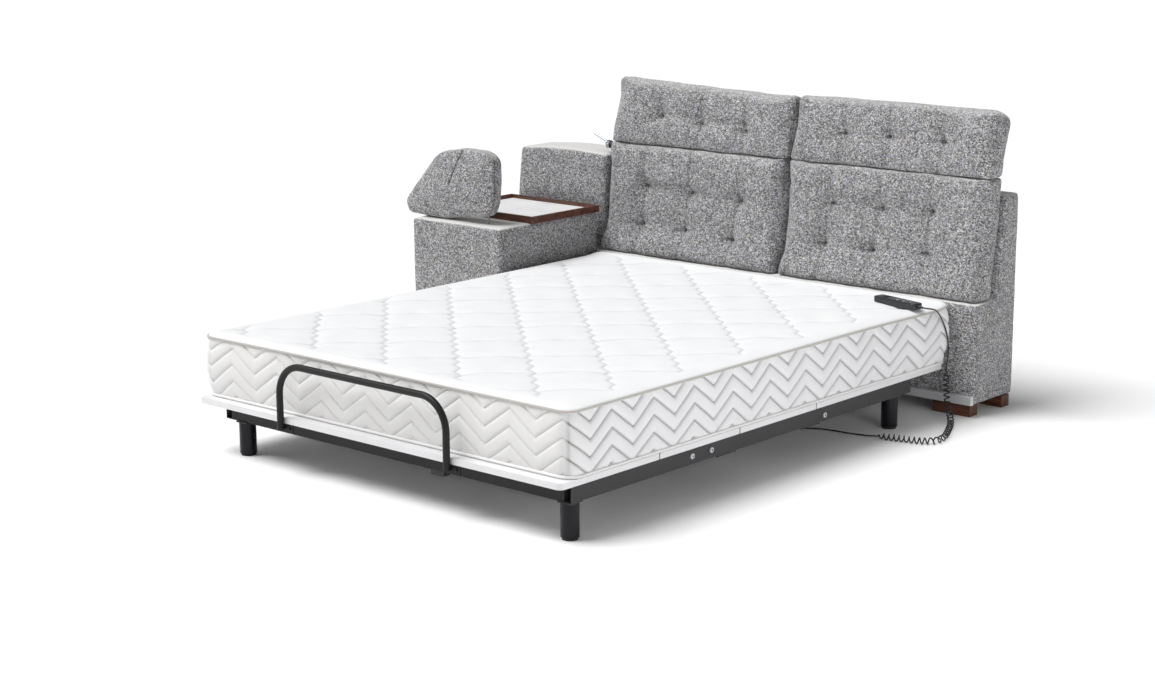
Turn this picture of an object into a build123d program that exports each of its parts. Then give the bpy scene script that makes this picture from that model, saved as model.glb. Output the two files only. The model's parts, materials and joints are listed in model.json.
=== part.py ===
"""Adjustable bed: powered steel base, mattress, upholstered headboard and side cabinet.

The bed's own coordinates are used throughout: X runs across the bed from its centreline, Y runs from the deck's
foot edge towards the head, and Z is the height above the floor. The origin of the model is on the floor under the
middle of the whole object, so every plane below carries the offset from there to the bed.
"""
from build123d import *
import os
from math import cos, radians, sin, tan

os.makedirs("parts", exist_ok=True)

# ---------------------------------------------------------------- placing
MID_X = 227.46            # the bed's centreline, from the middle of the object
FOOT_Y = -1131.5          # the deck's foot edge, from the middle of the object

bed = Plane(origin=(MID_X, FOOT_Y, 0))
lengthwise = Plane(origin=(MID_X, FOOT_Y, 0), x_dir=(0, 1, 0), z_dir=(1, 0, 0))
crosswise = Plane(origin=(MID_X, FOOT_Y, 0), x_dir=(1, 0, 0), z_dir=(0, -1, 0))

# ---------------------------------------------------------------- driving dimensions, mm
DECK_HALF = 800.0         # half of the 1600 mm mattress width
DECK_LENGTH = 2000.0
DECK_BOTTOM = 165.0
DECK_TOP = 184.0
SEAM_GAP = 6.0            # between two deck panels
KNEE_Y = 440.0            # calf panel to thigh panel
THIGH_Y = 831.0           # thigh panel to seat panel
BACK_Y = 1238.0           # seat panel to back panel
HINGE_Z = 180.0           # axis of the thigh and back hinges, let into the deck's top
KNEE_HINGE_Z = 161.0      # axis of the knee hinge, under the deck

RAIL_LEFT = -725.0        # outer faces of the side rails
RAIL_RIGHT = 793.0
RAIL_WIDTH = 30.0
RAIL_BOTTOM = 114.0
RAIL_TOP = 165.0
RAIL_FOOT = 53.0
RAIL_HEAD = 1803.0
INNER_LEFT = RAIL_LEFT + RAIL_WIDTH
INNER_RIGHT = RAIL_RIGHT - RAIL_WIDTH
TUBE_WALL = 2.0

LEG_RADIUS = 28.0
LEG_PLATE = 4.0
GLIDE = 5.0
LEG_PLACES = [(767, 76), (-645, 74), (763, 1721), (-697, 1721)]

MATTRESS_FOOT = 40.0
MATTRESS_HEAD = 2010.0
MATTRESS_TOP = 400.0
MATTRESS_CORNER = 45.0
BACK_ANGLE = 60.0         # how far the back section rises
THIGH_ANGLE = 35.0        # how far the thigh section rises
FOLD_ROOM = 8.0           # half width of a fold at the deck
BACK_FOLD = BACK_ANGLE / 2 + 1.5
THIGH_FOLD = THIGH_ANGLE / 2 + 1.0

SHAFT_Z = 124.0           # axis of both lift shafts
SHAFT_RADIUS = 16.0
SHAFT_FIT = 0.06          # running clearance in the bearing plates
ROLLER_RADIUS = 16.0
ROLLER_WIDTH = 22.0
BACK_ARM = 400.0
THIGH_ARM = 250.0
BACK_SWING = 56.0         # turn of the back lift shaft over its full lift
THIGH_SWING = 32.8
ROD_DROP = 75.0           # from the shaft's axis down to the actuator rod's axis
PIN_RADIUS = 5.0
FRAME_TUBE_BOTTOM = 141.0
TRACK_LEFT = -620.0       # middles of the sub-frame tubes that the rollers run under
TRACK_RIGHT = 680.0
TRACK_WIDTH = 40.0
BACK_LINE = -60.0         # X of the back actuator
THIGH_LINE = 150.0        # X of the thigh actuator

BOARD_FRONT = 2018.0      # headboard
BOARD_REAR = 2285.0
BOARD_LEFT = -832.0
BOARD_RIGHT = 912.0
BOARD_BOTTOM = 42.0
LEDGE_Z = 398.0
LEDGE_REAR = 2150.0
BOARD_TOP = 762.0
BOARD_TOP_FRONT = 2197.0
CUSHION_SPLIT = 35.0      # X of the gap between the two back cushions
CUSHION_LEFT = -830.0
CUSHION_RIGHT = 900.0
CUSHION_GAP = 4.0

CABINET_LEFT = -1300.0
CABINET_RIGHT = -834.0
CABINET_FRONT = 1477.0
CABINET_REAR = 2046.0
CABINET_TOP = 547.0
BLOCK_FRONT = 2086.0
STAY_RADIUS = 4.0

HANDSET_LENGTH = 200.0
HANDSET_WIDTH = 48.0
HANDSET_HEIGHT = 21.0
HANDSET_TURN = -13.3      # degrees from straight across the bed
BUTTON_RADIUS = 6.0
LEAD_RADIUS = 2.5
COIL_RADIUS = 12.0


def block(x, y, z, mode=Mode.ADD):
    """A box between three pairs of limits in the open part's own coordinates."""
    with Locations(((x[0] + x[1]) / 2, (y[0] + y[1]) / 2, (z[0] + z[1]) / 2)):
        Box(x[1] - x[0], y[1] - y[0], z[1] - z[0], mode=mode)


def rod_x(x, y, z, radius, mode=Mode.ADD):
    """A round bar along X between two limits."""
    with Locations(((x[0] + x[1]) / 2, y, z)):
        Cylinder(radius, x[1] - x[0], rotation=(0, 90, 0), mode=mode)


def rod_y(x, y, z, radius, mode=Mode.ADD):
    """A round bar along Y between two limits."""
    with Locations((x, (y[0] + y[1]) / 2, z)):
        Cylinder(radius, y[1] - y[0], rotation=(90, 0, 0), mode=mode)


def rod_z(x, y, z, radius, mode=Mode.ADD):
    """A round bar along Z between two limits."""
    with Locations((x, y, (z[0] + z[1]) / 2)):
        Cylinder(radius, z[1] - z[0], mode=mode)


def tube_x(x, y, z):
    """A rectangular steel tube along X."""
    block(x, y, z)
    inner_y = (y[0] + TUBE_WALL, y[1] - TUBE_WALL)
    inner_z = (z[0] + TUBE_WALL, z[1] - TUBE_WALL)
    block(x, inner_y, inner_z, mode=Mode.SUBTRACT)


def tube_y(x, y, z):
    """A rectangular steel tube along Y."""
    block(x, y, z)
    inner_x = (x[0] + TUBE_WALL, x[1] - TUBE_WALL)
    inner_z = (z[0] + TUBE_WALL, z[1] - TUBE_WALL)
    block(inner_x, y, inner_z, mode=Mode.SUBTRACT)


# ---------------------------------------------------------------- fixed frame
with BuildPart(bed) as side_rail_right:
    tube_y((INNER_RIGHT, RAIL_RIGHT), (RAIL_FOOT, RAIL_HEAD), (RAIL_BOTTOM, RAIL_TOP))
side_rail_right.part.label = "side_rail_right"
export_step(side_rail_right.part, "parts/side_rail_right.step")

with BuildPart(bed) as side_rail_left:
    tube_y((RAIL_LEFT, INNER_LEFT), (RAIL_FOOT, RAIL_HEAD), (RAIL_BOTTOM, RAIL_TOP))
side_rail_left.part.label = "side_rail_left"
export_step(side_rail_left.part, "parts/side_rail_left.step")

with BuildPart(bed) as foot_rail:
    tube_x((INNER_LEFT, INNER_RIGHT), (RAIL_FOOT, RAIL_FOOT + RAIL_WIDTH), (RAIL_BOTTOM, RAIL_TOP))
foot_rail.part.label = "foot_rail"
export_step(foot_rail.part, "parts/foot_rail.step")

with BuildPart(bed) as head_rail:
    tube_x((INNER_LEFT, INNER_RIGHT), (RAIL_HEAD - RAIL_WIDTH, RAIL_HEAD), (RAIL_BOTTOM, RAIL_TOP))
head_rail.part.label = "head_rail"
export_step(head_rail.part, "parts/head_rail.step")

# Two tubes under the seat panel; each carries a hanger that an actuator is bolted to.
CROSS_TUBE_BOTTOM = 125.0
FRONT_TUBE = (862.0, 892.0)
REAR_TUBE = (1165.0, 1195.0)
ROD_Z = SHAFT_Z - ROD_DROP
HANGER_BOTTOM = ROD_Z - 20
HANGER_HALF = 20.0
WELD_ROOT = 0.2           # gap inside a weld between two tubes
with BuildPart(bed) as cross_tubes:
    tube_x((INNER_LEFT, INNER_RIGHT), FRONT_TUBE, (CROSS_TUBE_BOTTOM, RAIL_TOP))
    tube_x((INNER_LEFT, INNER_RIGHT), REAR_TUBE, (CROSS_TUBE_BOTTOM, RAIL_TOP))
    for line, tube in ((BACK_LINE, FRONT_TUBE), (THIGH_LINE, REAR_TUBE)):
        block((line - HANGER_HALF, line + HANGER_HALF), tube, (HANGER_BOTTOM, CROSS_TUBE_BOTTOM - WELD_ROOT))
cross_tubes.part.label = "cross_tubes"
export_step(cross_tubes.part, "parts/cross_tubes.step")

# Plates inside the side rails: a splice where the rail comes in two lengths, and a bearing at each lift shaft.
# A square plate tops each leg.
PLATE = 5.0
SPLICE = (575.0, 725.0)
BEARING_EDGE = 28.0
THIGH_PLATE = (THIGH_Y - 66, THIGH_Y + BEARING_EDGE)
BACK_PLATE = (BACK_Y - BEARING_EDGE, BACK_Y + 74)
LEG_PLATE_HALF = 26.0
with BuildPart(bed) as frame_plates:
    for plate_x in ((INNER_LEFT, INNER_LEFT + PLATE), (INNER_RIGHT - PLATE, INNER_RIGHT)):
        block(plate_x, SPLICE, (RAIL_BOTTOM + 4, RAIL_TOP - 4))
        for shaft_y, plate_y in ((THIGH_Y, THIGH_PLATE), (BACK_Y, BACK_PLATE)):
            block(plate_x, plate_y, (SHAFT_Z - BEARING_EDGE, RAIL_TOP - 4))
            rod_x(plate_x, shaft_y, SHAFT_Z, SHAFT_RADIUS + SHAFT_FIT, mode=Mode.SUBTRACT)
    for leg_x, leg_y in LEG_PLACES:
        limits_x = (leg_x - LEG_PLATE_HALF, leg_x + LEG_PLATE_HALF)
        limits_y = (leg_y - LEG_PLATE_HALF, leg_y + LEG_PLATE_HALF)
        block(limits_x, limits_y, (RAIL_BOTTOM - LEG_PLATE, RAIL_BOTTOM))
frame_plates.part.label = "frame_plates"
export_step(frame_plates.part, "parts/frame_plates.step")

# Low domed bolt heads on the outer faces of both side rails.
BOLT_RADIUS = 9.5
BOLT_HEAD = 5.0
BOLT_PLACES = [(602, 140), (696, 140), (1293, 134)]
with BuildPart(bed) as rail_bolts:
    for bolt_y, bolt_z in BOLT_PLACES:
        rod_x((RAIL_RIGHT, RAIL_RIGHT + BOLT_HEAD), bolt_y, bolt_z, BOLT_RADIUS)
        rod_x((RAIL_LEFT - BOLT_HEAD, RAIL_LEFT), bolt_y, bolt_z, BOLT_RADIUS)
    outer_faces = rail_bolts.faces().filter_by(Axis.X)
    rims = outer_faces.group_by(Axis.X)[0].edges() + outer_faces.group_by(Axis.X)[-1].edges()
    fillet(rims, radius=BOLT_HEAD * 0.6)
rail_bolts.part.label = "rail_bolts"
export_step(rail_bolts.part, "parts/rail_bolts.step")

with BuildPart(bed) as legs:
    for leg_x, leg_y in LEG_PLACES:
        rod_z(leg_x, leg_y, (GLIDE, RAIL_BOTTOM - LEG_PLATE), LEG_RADIUS)
    chamfer(legs.edges().group_by(Axis.Z)[0], length=3)
legs.part.label = "legs"
export_step(legs.part, "parts/legs.step")

with BuildPart(bed) as leg_glides:
    for leg_x, leg_y in LEG_PLACES:
        rod_z(leg_x, leg_y, (0, GLIDE), LEG_RADIUS - 4)
leg_glides.part.label = "leg_glides"
export_step(leg_glides.part, "parts/leg_glides.step")

with BuildPart(bed) as foot_rail_bracket:
    block((227, 282), (RAIL_FOOT, RAIL_FOOT + RAIL_WIDTH), (98, RAIL_BOTTOM))
    fillet(foot_rail_bracket.edges().filter_by(Axis.Y).group_by(Axis.Z)[0], radius=5)
foot_rail_bracket.part.label = "foot_rail_bracket"
export_step(foot_rail_bracket.part, "parts/foot_rail_bracket.step")

# ---------------------------------------------------------------- deck panels
DECK_X = (-DECK_HALF, DECK_HALF)
HALF_GAP = SEAM_GAP / 2
HINGE_PLACES = (-560.0, 34.0, 600.0)
LEAF_HALF = 42.0          # half the length of a hinge along its pin
LEAF_REACH = 34.0         # from the pin to the leaf's far edge
LEAF = 3.0
KNUCKLE = 4.0


def hinge_pockets(seam_y, side):
    """Shallow pockets in a panel's top for the leaves beside one seam; side is +1 towards the head."""
    for x in HINGE_PLACES:
        limits_x = (x - LEAF_HALF - 1, x + LEAF_HALF + 1)
        leaf_y = sorted((seam_y, seam_y + side * (LEAF_REACH + 1)))
        barrel_y = sorted((seam_y, seam_y + side * (KNUCKLE + 3)))
        block(limits_x, leaf_y, (DECK_TOP - LEAF - 0.4, DECK_TOP + 1), mode=Mode.SUBTRACT)
        block(limits_x, barrel_y, (HINGE_Z - KNUCKLE - 1, DECK_TOP + 1), mode=Mode.SUBTRACT)


with BuildPart(bed) as seat_deck:
    block(DECK_X, (THIGH_Y + HALF_GAP, BACK_Y - HALF_GAP), (DECK_BOTTOM, DECK_TOP))
    hinge_pockets(BACK_Y, -1)
    hinge_pockets(THIGH_Y, 1)
seat_deck.part.label = "seat_deck"
export_step(seat_deck.part, "parts/seat_deck.step")

with BuildPart(bed) as back_deck:
    block(DECK_X, (BACK_Y + HALF_GAP, DECK_LENGTH), (DECK_BOTTOM, DECK_TOP))
    fillet(back_deck.edges().filter_by(Axis.Z).group_by(Axis.Y)[-1], radius=20)
    hinge_pockets(BACK_Y, 1)
back_deck.part.label = "back_deck"
export_step(back_deck.part, "parts/back_deck.step")

with BuildPart(bed) as thigh_deck:
    block(DECK_X, (KNEE_Y + HALF_GAP, THIGH_Y - HALF_GAP), (DECK_BOTTOM, DECK_TOP))
    hinge_pockets(THIGH_Y, -1)
thigh_deck.part.label = "thigh_deck"
export_step(thigh_deck.part, "parts/thigh_deck.step")

with BuildPart(bed) as calf_deck:
    block(DECK_X, (0, KNEE_Y - HALF_GAP), (DECK_BOTTOM, DECK_TOP))
    fillet(calf_deck.edges().filter_by(Axis.Z).group_by(Axis.Y)[0], radius=20)
calf_deck.part.label = "calf_deck"
export_step(calf_deck.part, "parts/calf_deck.step")

# ---------------------------------------------------------------- hinges and sub-frames
PIN = 2.0
MIDDLE_KNUCKLE = 14.0     # half length of the fixed knuckle in the middle of each hinge
RUNG_HALF = 15.0


def fixed_leaves(seam_y, axis_z, side, up):
    """Leaves with the bored middle knuckle; side is where they lie, up is +1 on the deck's top, -1 below it."""
    for x in HINGE_PLACES:
        leaf_z = sorted((axis_z + up * (KNUCKLE - LEAF), axis_z + up * KNUCKLE))
        plate_y = sorted((seam_y + side * (KNUCKLE + 0.5), seam_y + side * LEAF_REACH))
        neck_y = sorted((seam_y, seam_y + side * (KNUCKLE + 0.5)))
        block((x - LEAF_HALF, x + LEAF_HALF), plate_y, leaf_z)
        block((x - MIDDLE_KNUCKLE, x + MIDDLE_KNUCKLE), neck_y, leaf_z)
        rod_x((x - MIDDLE_KNUCKLE, x + MIDDLE_KNUCKLE), seam_y, axis_z, KNUCKLE)
        rod_x((x - MIDDLE_KNUCKLE, x + MIDDLE_KNUCKLE), seam_y, axis_z, PIN + SHAFT_FIT, mode=Mode.SUBTRACT)


def moving_leaves(seam_y, axis_z, side, up):
    """Leaves with the two outer knuckles and the pin between them."""
    for x in HINGE_PLACES:
        leaf_z = sorted((axis_z + up * (KNUCKLE - LEAF), axis_z + up * KNUCKLE))
        plate_y = sorted((seam_y + side * (KNUCKLE + 0.5), seam_y + side * LEAF_REACH))
        neck_y = sorted((seam_y, seam_y + side * (KNUCKLE + 0.5)))
        block((x - LEAF_HALF, x + LEAF_HALF), plate_y, leaf_z)
        for knuckle_x in ((x - LEAF_HALF, x - MIDDLE_KNUCKLE - 0.4), (x + MIDDLE_KNUCKLE + 0.4, x + LEAF_HALF)):
            block(knuckle_x, neck_y, leaf_z)
            rod_x(knuckle_x, seam_y, axis_z, KNUCKLE)
        rod_x((x - LEAF_HALF, x + LEAF_HALF), seam_y, axis_z, PIN)


def ladder(y, rungs):
    """Two lengthwise tubes joined by crosswise rungs, which stand where no lift arm reaches them."""
    side_x = [(track - TRACK_WIDTH / 2, track + TRACK_WIDTH / 2) for track in (TRACK_LEFT, TRACK_RIGHT)]
    for limits_x in side_x:
        block(limits_x, y, (FRAME_TUBE_BOTTOM, DECK_BOTTOM))
    between = (side_x[0][1] + WELD_ROOT, side_x[1][0] - WELD_ROOT)
    for rung_y in rungs:
        block(between, (rung_y - RUNG_HALF, rung_y + RUNG_HALF), (FRAME_TUBE_BOTTOM, DECK_BOTTOM))


with BuildPart(bed) as seat_hinges:
    fixed_leaves(BACK_Y, HINGE_Z, -1, 1)
    fixed_leaves(THIGH_Y, HINGE_Z, 1, 1)
seat_hinges.part.label = "seat_hinges"
export_step(seat_hinges.part, "parts/seat_hinges.step")

with BuildPart(bed) as back_subframe:
    moving_leaves(BACK_Y, HINGE_Z, 1, 1)
    ladder((1290, 1762), (1535, 1747))
back_subframe.part.label = "back_subframe"
export_step(back_subframe.part, "parts/back_subframe.step")

with BuildPart(bed) as thigh_subframe:
    moving_leaves(THIGH_Y, HINGE_Z, -1, 1)
    fixed_leaves(KNEE_Y, KNEE_HINGE_Z, 1, 1)
    ladder((478, 785), (499, 745))
thigh_subframe.part.label = "thigh_subframe"
export_step(thigh_subframe.part, "parts/thigh_subframe.step")

with BuildPart(bed) as calf_subframe:
    moving_leaves(KNEE_Y, KNEE_HINGE_Z, -1, 1)
    ladder((96, 402), (117, 387))
calf_subframe.part.label = "calf_subframe"
export_step(calf_subframe.part, "parts/calf_subframe.step")

# ---------------------------------------------------------------- lift shafts, arms and rollers
ARM_HALF = 4.0
ARM_DEPTH = 10.0          # half of the arm's depth
HUB_RADIUS = 25.0
LEVER_TIP = 100.0
LEVER_HALF = 18.0
SLOT_MIDDLE = 80.0
SLOT_LENGTH = 28.0
SLOT_WIDTH = 15.0
KEY_GAP = 0.05
ARM_LEFT = TRACK_LEFT + TRACK_WIDTH / 2 + 10
ARM_RIGHT = TRACK_RIGHT - TRACK_WIDTH / 2 - 10


def arm_plate(shaft_y, reach, x):
    """One lift arm: a round hub on the shaft and a straight bar to the roller pin. reach is signed along Y."""
    with BuildSketch(lengthwise.offset(x - ARM_HALF)) as outline:
        with Locations((shaft_y, SHAFT_Z)):
            Circle(HUB_RADIUS)
        with Locations((shaft_y + reach / 2, SHAFT_Z)):
            SlotOverall(abs(reach) + 2 * ARM_DEPTH, 2 * ARM_DEPTH)
        with Locations((shaft_y, SHAFT_Z)):
            Circle(SHAFT_RADIUS + KEY_GAP, mode=Mode.SUBTRACT)
    extrude(outline.sketch, amount=2 * ARM_HALF)


def lever_plate(shaft_y, lean, x):
    """The slotted lever under the shaft, leaning from straight down by lean degrees towards the head."""
    tip_angle = -90 + lean
    direction = (cos(radians(tip_angle)), sin(radians(tip_angle)))
    with BuildSketch(lengthwise.offset(x - ARM_HALF)) as outline:
        with Locations((shaft_y, SHAFT_Z)):
            Circle(HUB_RADIUS)
        middle = (LEVER_TIP - LEVER_HALF) / 2
        with Locations(Location((shaft_y + middle * direction[0], SHAFT_Z + middle * direction[1], 0),
                                (0, 0, tip_angle))):
            SlotOverall(LEVER_TIP + LEVER_HALF, 2 * LEVER_HALF)
        with Locations(Location((shaft_y + SLOT_MIDDLE * direction[0], SHAFT_Z + SLOT_MIDDLE * direction[1], 0),
                                (0, 0, tip_angle))):
            SlotOverall(SLOT_LENGTH, SLOT_WIDTH, mode=Mode.SUBTRACT)
        with Locations((shaft_y, SHAFT_Z)):
            Circle(SHAFT_RADIUS + KEY_GAP, mode=Mode.SUBTRACT)
    extrude(outline.sketch, amount=2 * ARM_HALF)


SHAFT_X = (INNER_LEFT + 0.5, INNER_RIGHT - 0.5)
PIN_OUT = ARM_HALF + 1 + ROLLER_WIDTH

with BuildPart(bed) as back_lift_shaft:
    rod_x(SHAFT_X, BACK_Y, SHAFT_Z, SHAFT_RADIUS)
    arm_plate(BACK_Y, BACK_ARM, ARM_LEFT)
    arm_plate(BACK_Y, BACK_ARM, ARM_RIGHT)
    lever_plate(BACK_Y, -BACK_SWING / 2, BACK_LINE)
    rod_x((ARM_LEFT - PIN_OUT, ARM_LEFT), BACK_Y + BACK_ARM, SHAFT_Z, PIN_RADIUS)
    rod_x((ARM_RIGHT, ARM_RIGHT + PIN_OUT), BACK_Y + BACK_ARM, SHAFT_Z, PIN_RADIUS)
back_lift_shaft.part.label = "back_lift_shaft"
export_step(back_lift_shaft.part, "parts/back_lift_shaft.step")

with BuildPart(bed) as thigh_lift_shaft:
    rod_x(SHAFT_X, THIGH_Y, SHAFT_Z, SHAFT_RADIUS)
    arm_plate(THIGH_Y, -THIGH_ARM, ARM_LEFT)
    arm_plate(THIGH_Y, -THIGH_ARM, ARM_RIGHT)
    lever_plate(THIGH_Y, THIGH_SWING / 2, THIGH_LINE)
    rod_x((ARM_LEFT - PIN_OUT, ARM_LEFT), THIGH_Y - THIGH_ARM, SHAFT_Z, PIN_RADIUS)
    rod_x((ARM_RIGHT, ARM_RIGHT + PIN_OUT), THIGH_Y - THIGH_ARM, SHAFT_Z, PIN_RADIUS)
thigh_lift_shaft.part.label = "thigh_lift_shaft"
export_step(thigh_lift_shaft.part, "parts/thigh_lift_shaft.step")


def rollers(y):
    """The two rollers at the arms' ends, bored to turn on their pins."""
    starts = (ARM_LEFT - ARM_HALF - 0.5 - ROLLER_WIDTH, ARM_RIGHT + ARM_HALF + 0.5)
    for start in starts:
        rod_x((start, start + ROLLER_WIDTH), y, SHAFT_Z, ROLLER_RADIUS)
        rod_x((start, start + ROLLER_WIDTH), y, SHAFT_Z, PIN_RADIUS + SHAFT_FIT, mode=Mode.SUBTRACT)


with BuildPart(bed) as back_lift_rollers:
    rollers(BACK_Y + BACK_ARM)
back_lift_rollers.part.label = "back_lift_rollers"
export_step(back_lift_rollers.part, "parts/back_lift_rollers.step")

with BuildPart(bed) as thigh_lift_rollers:
    rollers(THIGH_Y - THIGH_ARM)
thigh_lift_rollers.part.label = "thigh_lift_rollers"
export_step(thigh_lift_rollers.part, "parts/thigh_lift_rollers.step")

# ---------------------------------------------------------------- linear actuators
BODY_HALF = 22.0
ROD_RADIUS = 9.0
BORE_DEPTH = 150.0
MOTOR_RADIUS = 24.0
MOTOR_SHIFT = 50.0
FORK_EAR = 8.0
FORK_REACH = 30.0         # from the pin to the fork's root, clear of the swinging lever


def actuator_body(x, near_y, far_y, motor_side):
    """Square housing bored for its rod at far_y, with the motor can beside it at near_y."""
    toward = 1 if far_y > near_y else -1
    block((x - BODY_HALF, x + BODY_HALF), sorted((near_y, far_y)), (ROD_Z - BODY_HALF, ROD_Z + BODY_HALF))
    motor_x = x + motor_side * MOTOR_SHIFT
    rod_y(motor_x, sorted((near_y + toward * 8, near_y + toward * 160)), ROD_Z, MOTOR_RADIUS)
    bore = sorted((far_y - toward * BORE_DEPTH, far_y))
    rod_y(x, bore, ROD_Z, ROD_RADIUS + SHAFT_FIT, mode=Mode.SUBTRACT)


def actuator_rod(x, pin_y, inner_y):
    """Round rod that ends in a fork with a pin through the lever's slot."""
    toward = 1 if pin_y > inner_y else -1
    rod_y(x, sorted((inner_y, pin_y - toward * FORK_REACH)), ROD_Z, ROD_RADIUS)
    inside = ARM_HALF + 1
    outside = inside + FORK_EAR
    root = sorted((pin_y - toward * (FORK_REACH + 6), pin_y - toward * FORK_REACH))
    block((x - outside, x + outside), root, (ROD_Z - 12, ROD_Z + 12))
    for ear_x in ((x - outside, x - inside), (x + inside, x + outside)):
        block(ear_x, sorted((pin_y - toward * FORK_REACH, pin_y + toward * 10)), (ROD_Z - 12, ROD_Z + 12))
    rod_x((x - outside - 2, x + outside + 2), pin_y, ROD_Z, PIN_RADIUS)


BACK_PIN_Y = BACK_Y - ROD_DROP * tan(radians(BACK_SWING / 2))
THIGH_PIN_Y = THIGH_Y + ROD_DROP * tan(radians(THIGH_SWING / 2))
BACK_BODY_END = 1140.0
THIGH_BODY_END = 912.0

with BuildPart(bed) as back_actuator:
    actuator_body(BACK_LINE, FRONT_TUBE[1], BACK_BODY_END, -1)
back_actuator.part.label = "back_actuator"
export_step(back_actuator.part, "parts/back_actuator.step")

with BuildPart(bed) as thigh_actuator:
    actuator_body(THIGH_LINE, REAR_TUBE[0], THIGH_BODY_END, 1)
thigh_actuator.part.label = "thigh_actuator"
export_step(thigh_actuator.part, "parts/thigh_actuator.step")

with BuildPart(bed) as back_actuator_rod:
    actuator_rod(BACK_LINE, BACK_PIN_Y, BACK_BODY_END - BORE_DEPTH + 5)
back_actuator_rod.part.label = "back_actuator_rod"
export_step(back_actuator_rod.part, "parts/back_actuator_rod.step")

with BuildPart(bed) as thigh_actuator_rod:
    actuator_rod(THIGH_LINE, THIGH_PIN_Y, THIGH_BODY_END + BORE_DEPTH - 5)
thigh_actuator_rod.part.label = "thigh_actuator_rod"
export_step(thigh_actuator_rod.part, "parts/thigh_actuator_rod.step")

# The control box hangs from the seat panel; the handset's lead goes into a gland in its underside.
BOX_BOTTOM = 112.0
GLAND_PLACE = (415.0, 1085.0)
GLAND_DROP = 12.0
with BuildPart(bed) as control_box:
    block((330, 500), (930, 1110), (BOX_BOTTOM, DECK_BOTTOM))
    fillet(control_box.edges().filter_by(Axis.Z), radius=12)
    fillet(control_box.faces().sort_by(Axis.Z)[0].edges(), radius=5)
    rod_z(GLAND_PLACE[0], GLAND_PLACE[1], (BOX_BOTTOM - GLAND_DROP, BOX_BOTTOM), 7)
control_box.part.label = "control_box"
export_step(control_box.part, "parts/control_box.step")

# ---------------------------------------------------------------- mattress
MATTRESS_HEIGHT = MATTRESS_TOP - DECK_TOP


def fold(y, angle):
    """Half the top width of a fold, for the angle that one side of it leans."""
    return FOLD_ROOM + MATTRESS_HEIGHT * tan(radians(angle))


def mattress_piece(foot_bottom, foot_top, head_bottom, head_top):
    """One length of the mattress, from its outline along the bed; ends may lean where the bed folds."""
    with BuildSketch(lengthwise.offset(-DECK_HALF)) as outline:
        Polygon((foot_bottom, DECK_TOP), (head_bottom, DECK_TOP), (head_top, MATTRESS_TOP),
                (foot_top, MATTRESS_TOP), align=None)
    extrude(outline.sketch, amount=2 * DECK_HALF)


BACK_TOP = fold(BACK_Y, BACK_FOLD)
THIGH_TOP = fold(THIGH_Y, THIGH_FOLD)

with BuildPart(bed) as mattress_back:
    mattress_piece(BACK_Y + FOLD_ROOM, BACK_Y + BACK_TOP, MATTRESS_HEAD, MATTRESS_HEAD)
    fillet(mattress_back.edges().filter_by(Axis.Z).group_by(Axis.Y)[-1], radius=MATTRESS_CORNER)
mattress_back.part.label = "mattress_back"
export_step(mattress_back.part, "parts/mattress_back.step")

with BuildPart(bed) as mattress_seat:
    mattress_piece(THIGH_Y + FOLD_ROOM, THIGH_Y + THIGH_TOP, BACK_Y - FOLD_ROOM, BACK_Y - BACK_TOP)
mattress_seat.part.label = "mattress_seat"
export_step(mattress_seat.part, "parts/mattress_seat.step")

with BuildPart(bed) as mattress_thigh:
    mattress_piece(KNEE_Y + 0.3, KNEE_Y + 0.3, THIGH_Y - FOLD_ROOM, THIGH_Y - THIGH_TOP)
mattress_thigh.part.label = "mattress_thigh"
export_step(mattress_thigh.part, "parts/mattress_thigh.step")

with BuildPart(bed) as mattress_calf:
    mattress_piece(MATTRESS_FOOT, MATTRESS_FOOT, KNEE_Y - 0.3, KNEE_Y - 0.3)
    fillet(mattress_calf.edges().filter_by(Axis.Z).group_by(Axis.Y)[0], radius=MATTRESS_CORNER)
mattress_calf.part.label = "mattress_calf"
export_step(mattress_calf.part, "parts/mattress_calf.step")

# Soft wedges that close up as the bed folds.
WEDGE_GAP = 0.5
with BuildPart(bed) as mattress_fold_back:
    mattress_piece(BACK_Y - FOLD_ROOM + WEDGE_GAP, BACK_Y - BACK_TOP + WEDGE_GAP,
                   BACK_Y + FOLD_ROOM - WEDGE_GAP, BACK_Y + BACK_TOP - WEDGE_GAP)
mattress_fold_back.part.label = "mattress_fold_back"
export_step(mattress_fold_back.part, "parts/mattress_fold_back.step")

with BuildPart(bed) as mattress_fold_thigh:
    mattress_piece(THIGH_Y - FOLD_ROOM + WEDGE_GAP, THIGH_Y - THIGH_TOP + WEDGE_GAP,
                   THIGH_Y + FOLD_ROOM - WEDGE_GAP, THIGH_Y + THIGH_TOP - WEDGE_GAP)
mattress_fold_thigh.part.label = "mattress_fold_thigh"
export_step(mattress_fold_thigh.part, "parts/mattress_fold_thigh.step")

# ---------------------------------------------------------------- retainer bar at the foot
BAR_RADIUS = 11.0
BAR_Y = -11.0
BAR_LEFT = -380.0
BAR_RIGHT = 359.0
BAR_TOP = 361.0
BAR_FOOT = 147.0
BAR_CORNER = 100.0
with BuildPart(bed) as retainer_bar:
    with BuildLine(crosswise.offset(-BAR_Y)) as bar_path:
        FilletPolyline((BAR_LEFT, BAR_FOOT), (BAR_LEFT, BAR_TOP), (BAR_RIGHT, BAR_TOP), (BAR_RIGHT, BAR_FOOT),
                       radius=BAR_CORNER)
    with BuildSketch(Plane(origin=bar_path.line @ 0, z_dir=bar_path.line % 0)):
        Circle(BAR_RADIUS)
    sweep(path=bar_path.line)
retainer_bar.part.label = "retainer_bar"
export_step(retainer_bar.part, "parts/retainer_bar.step")

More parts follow.
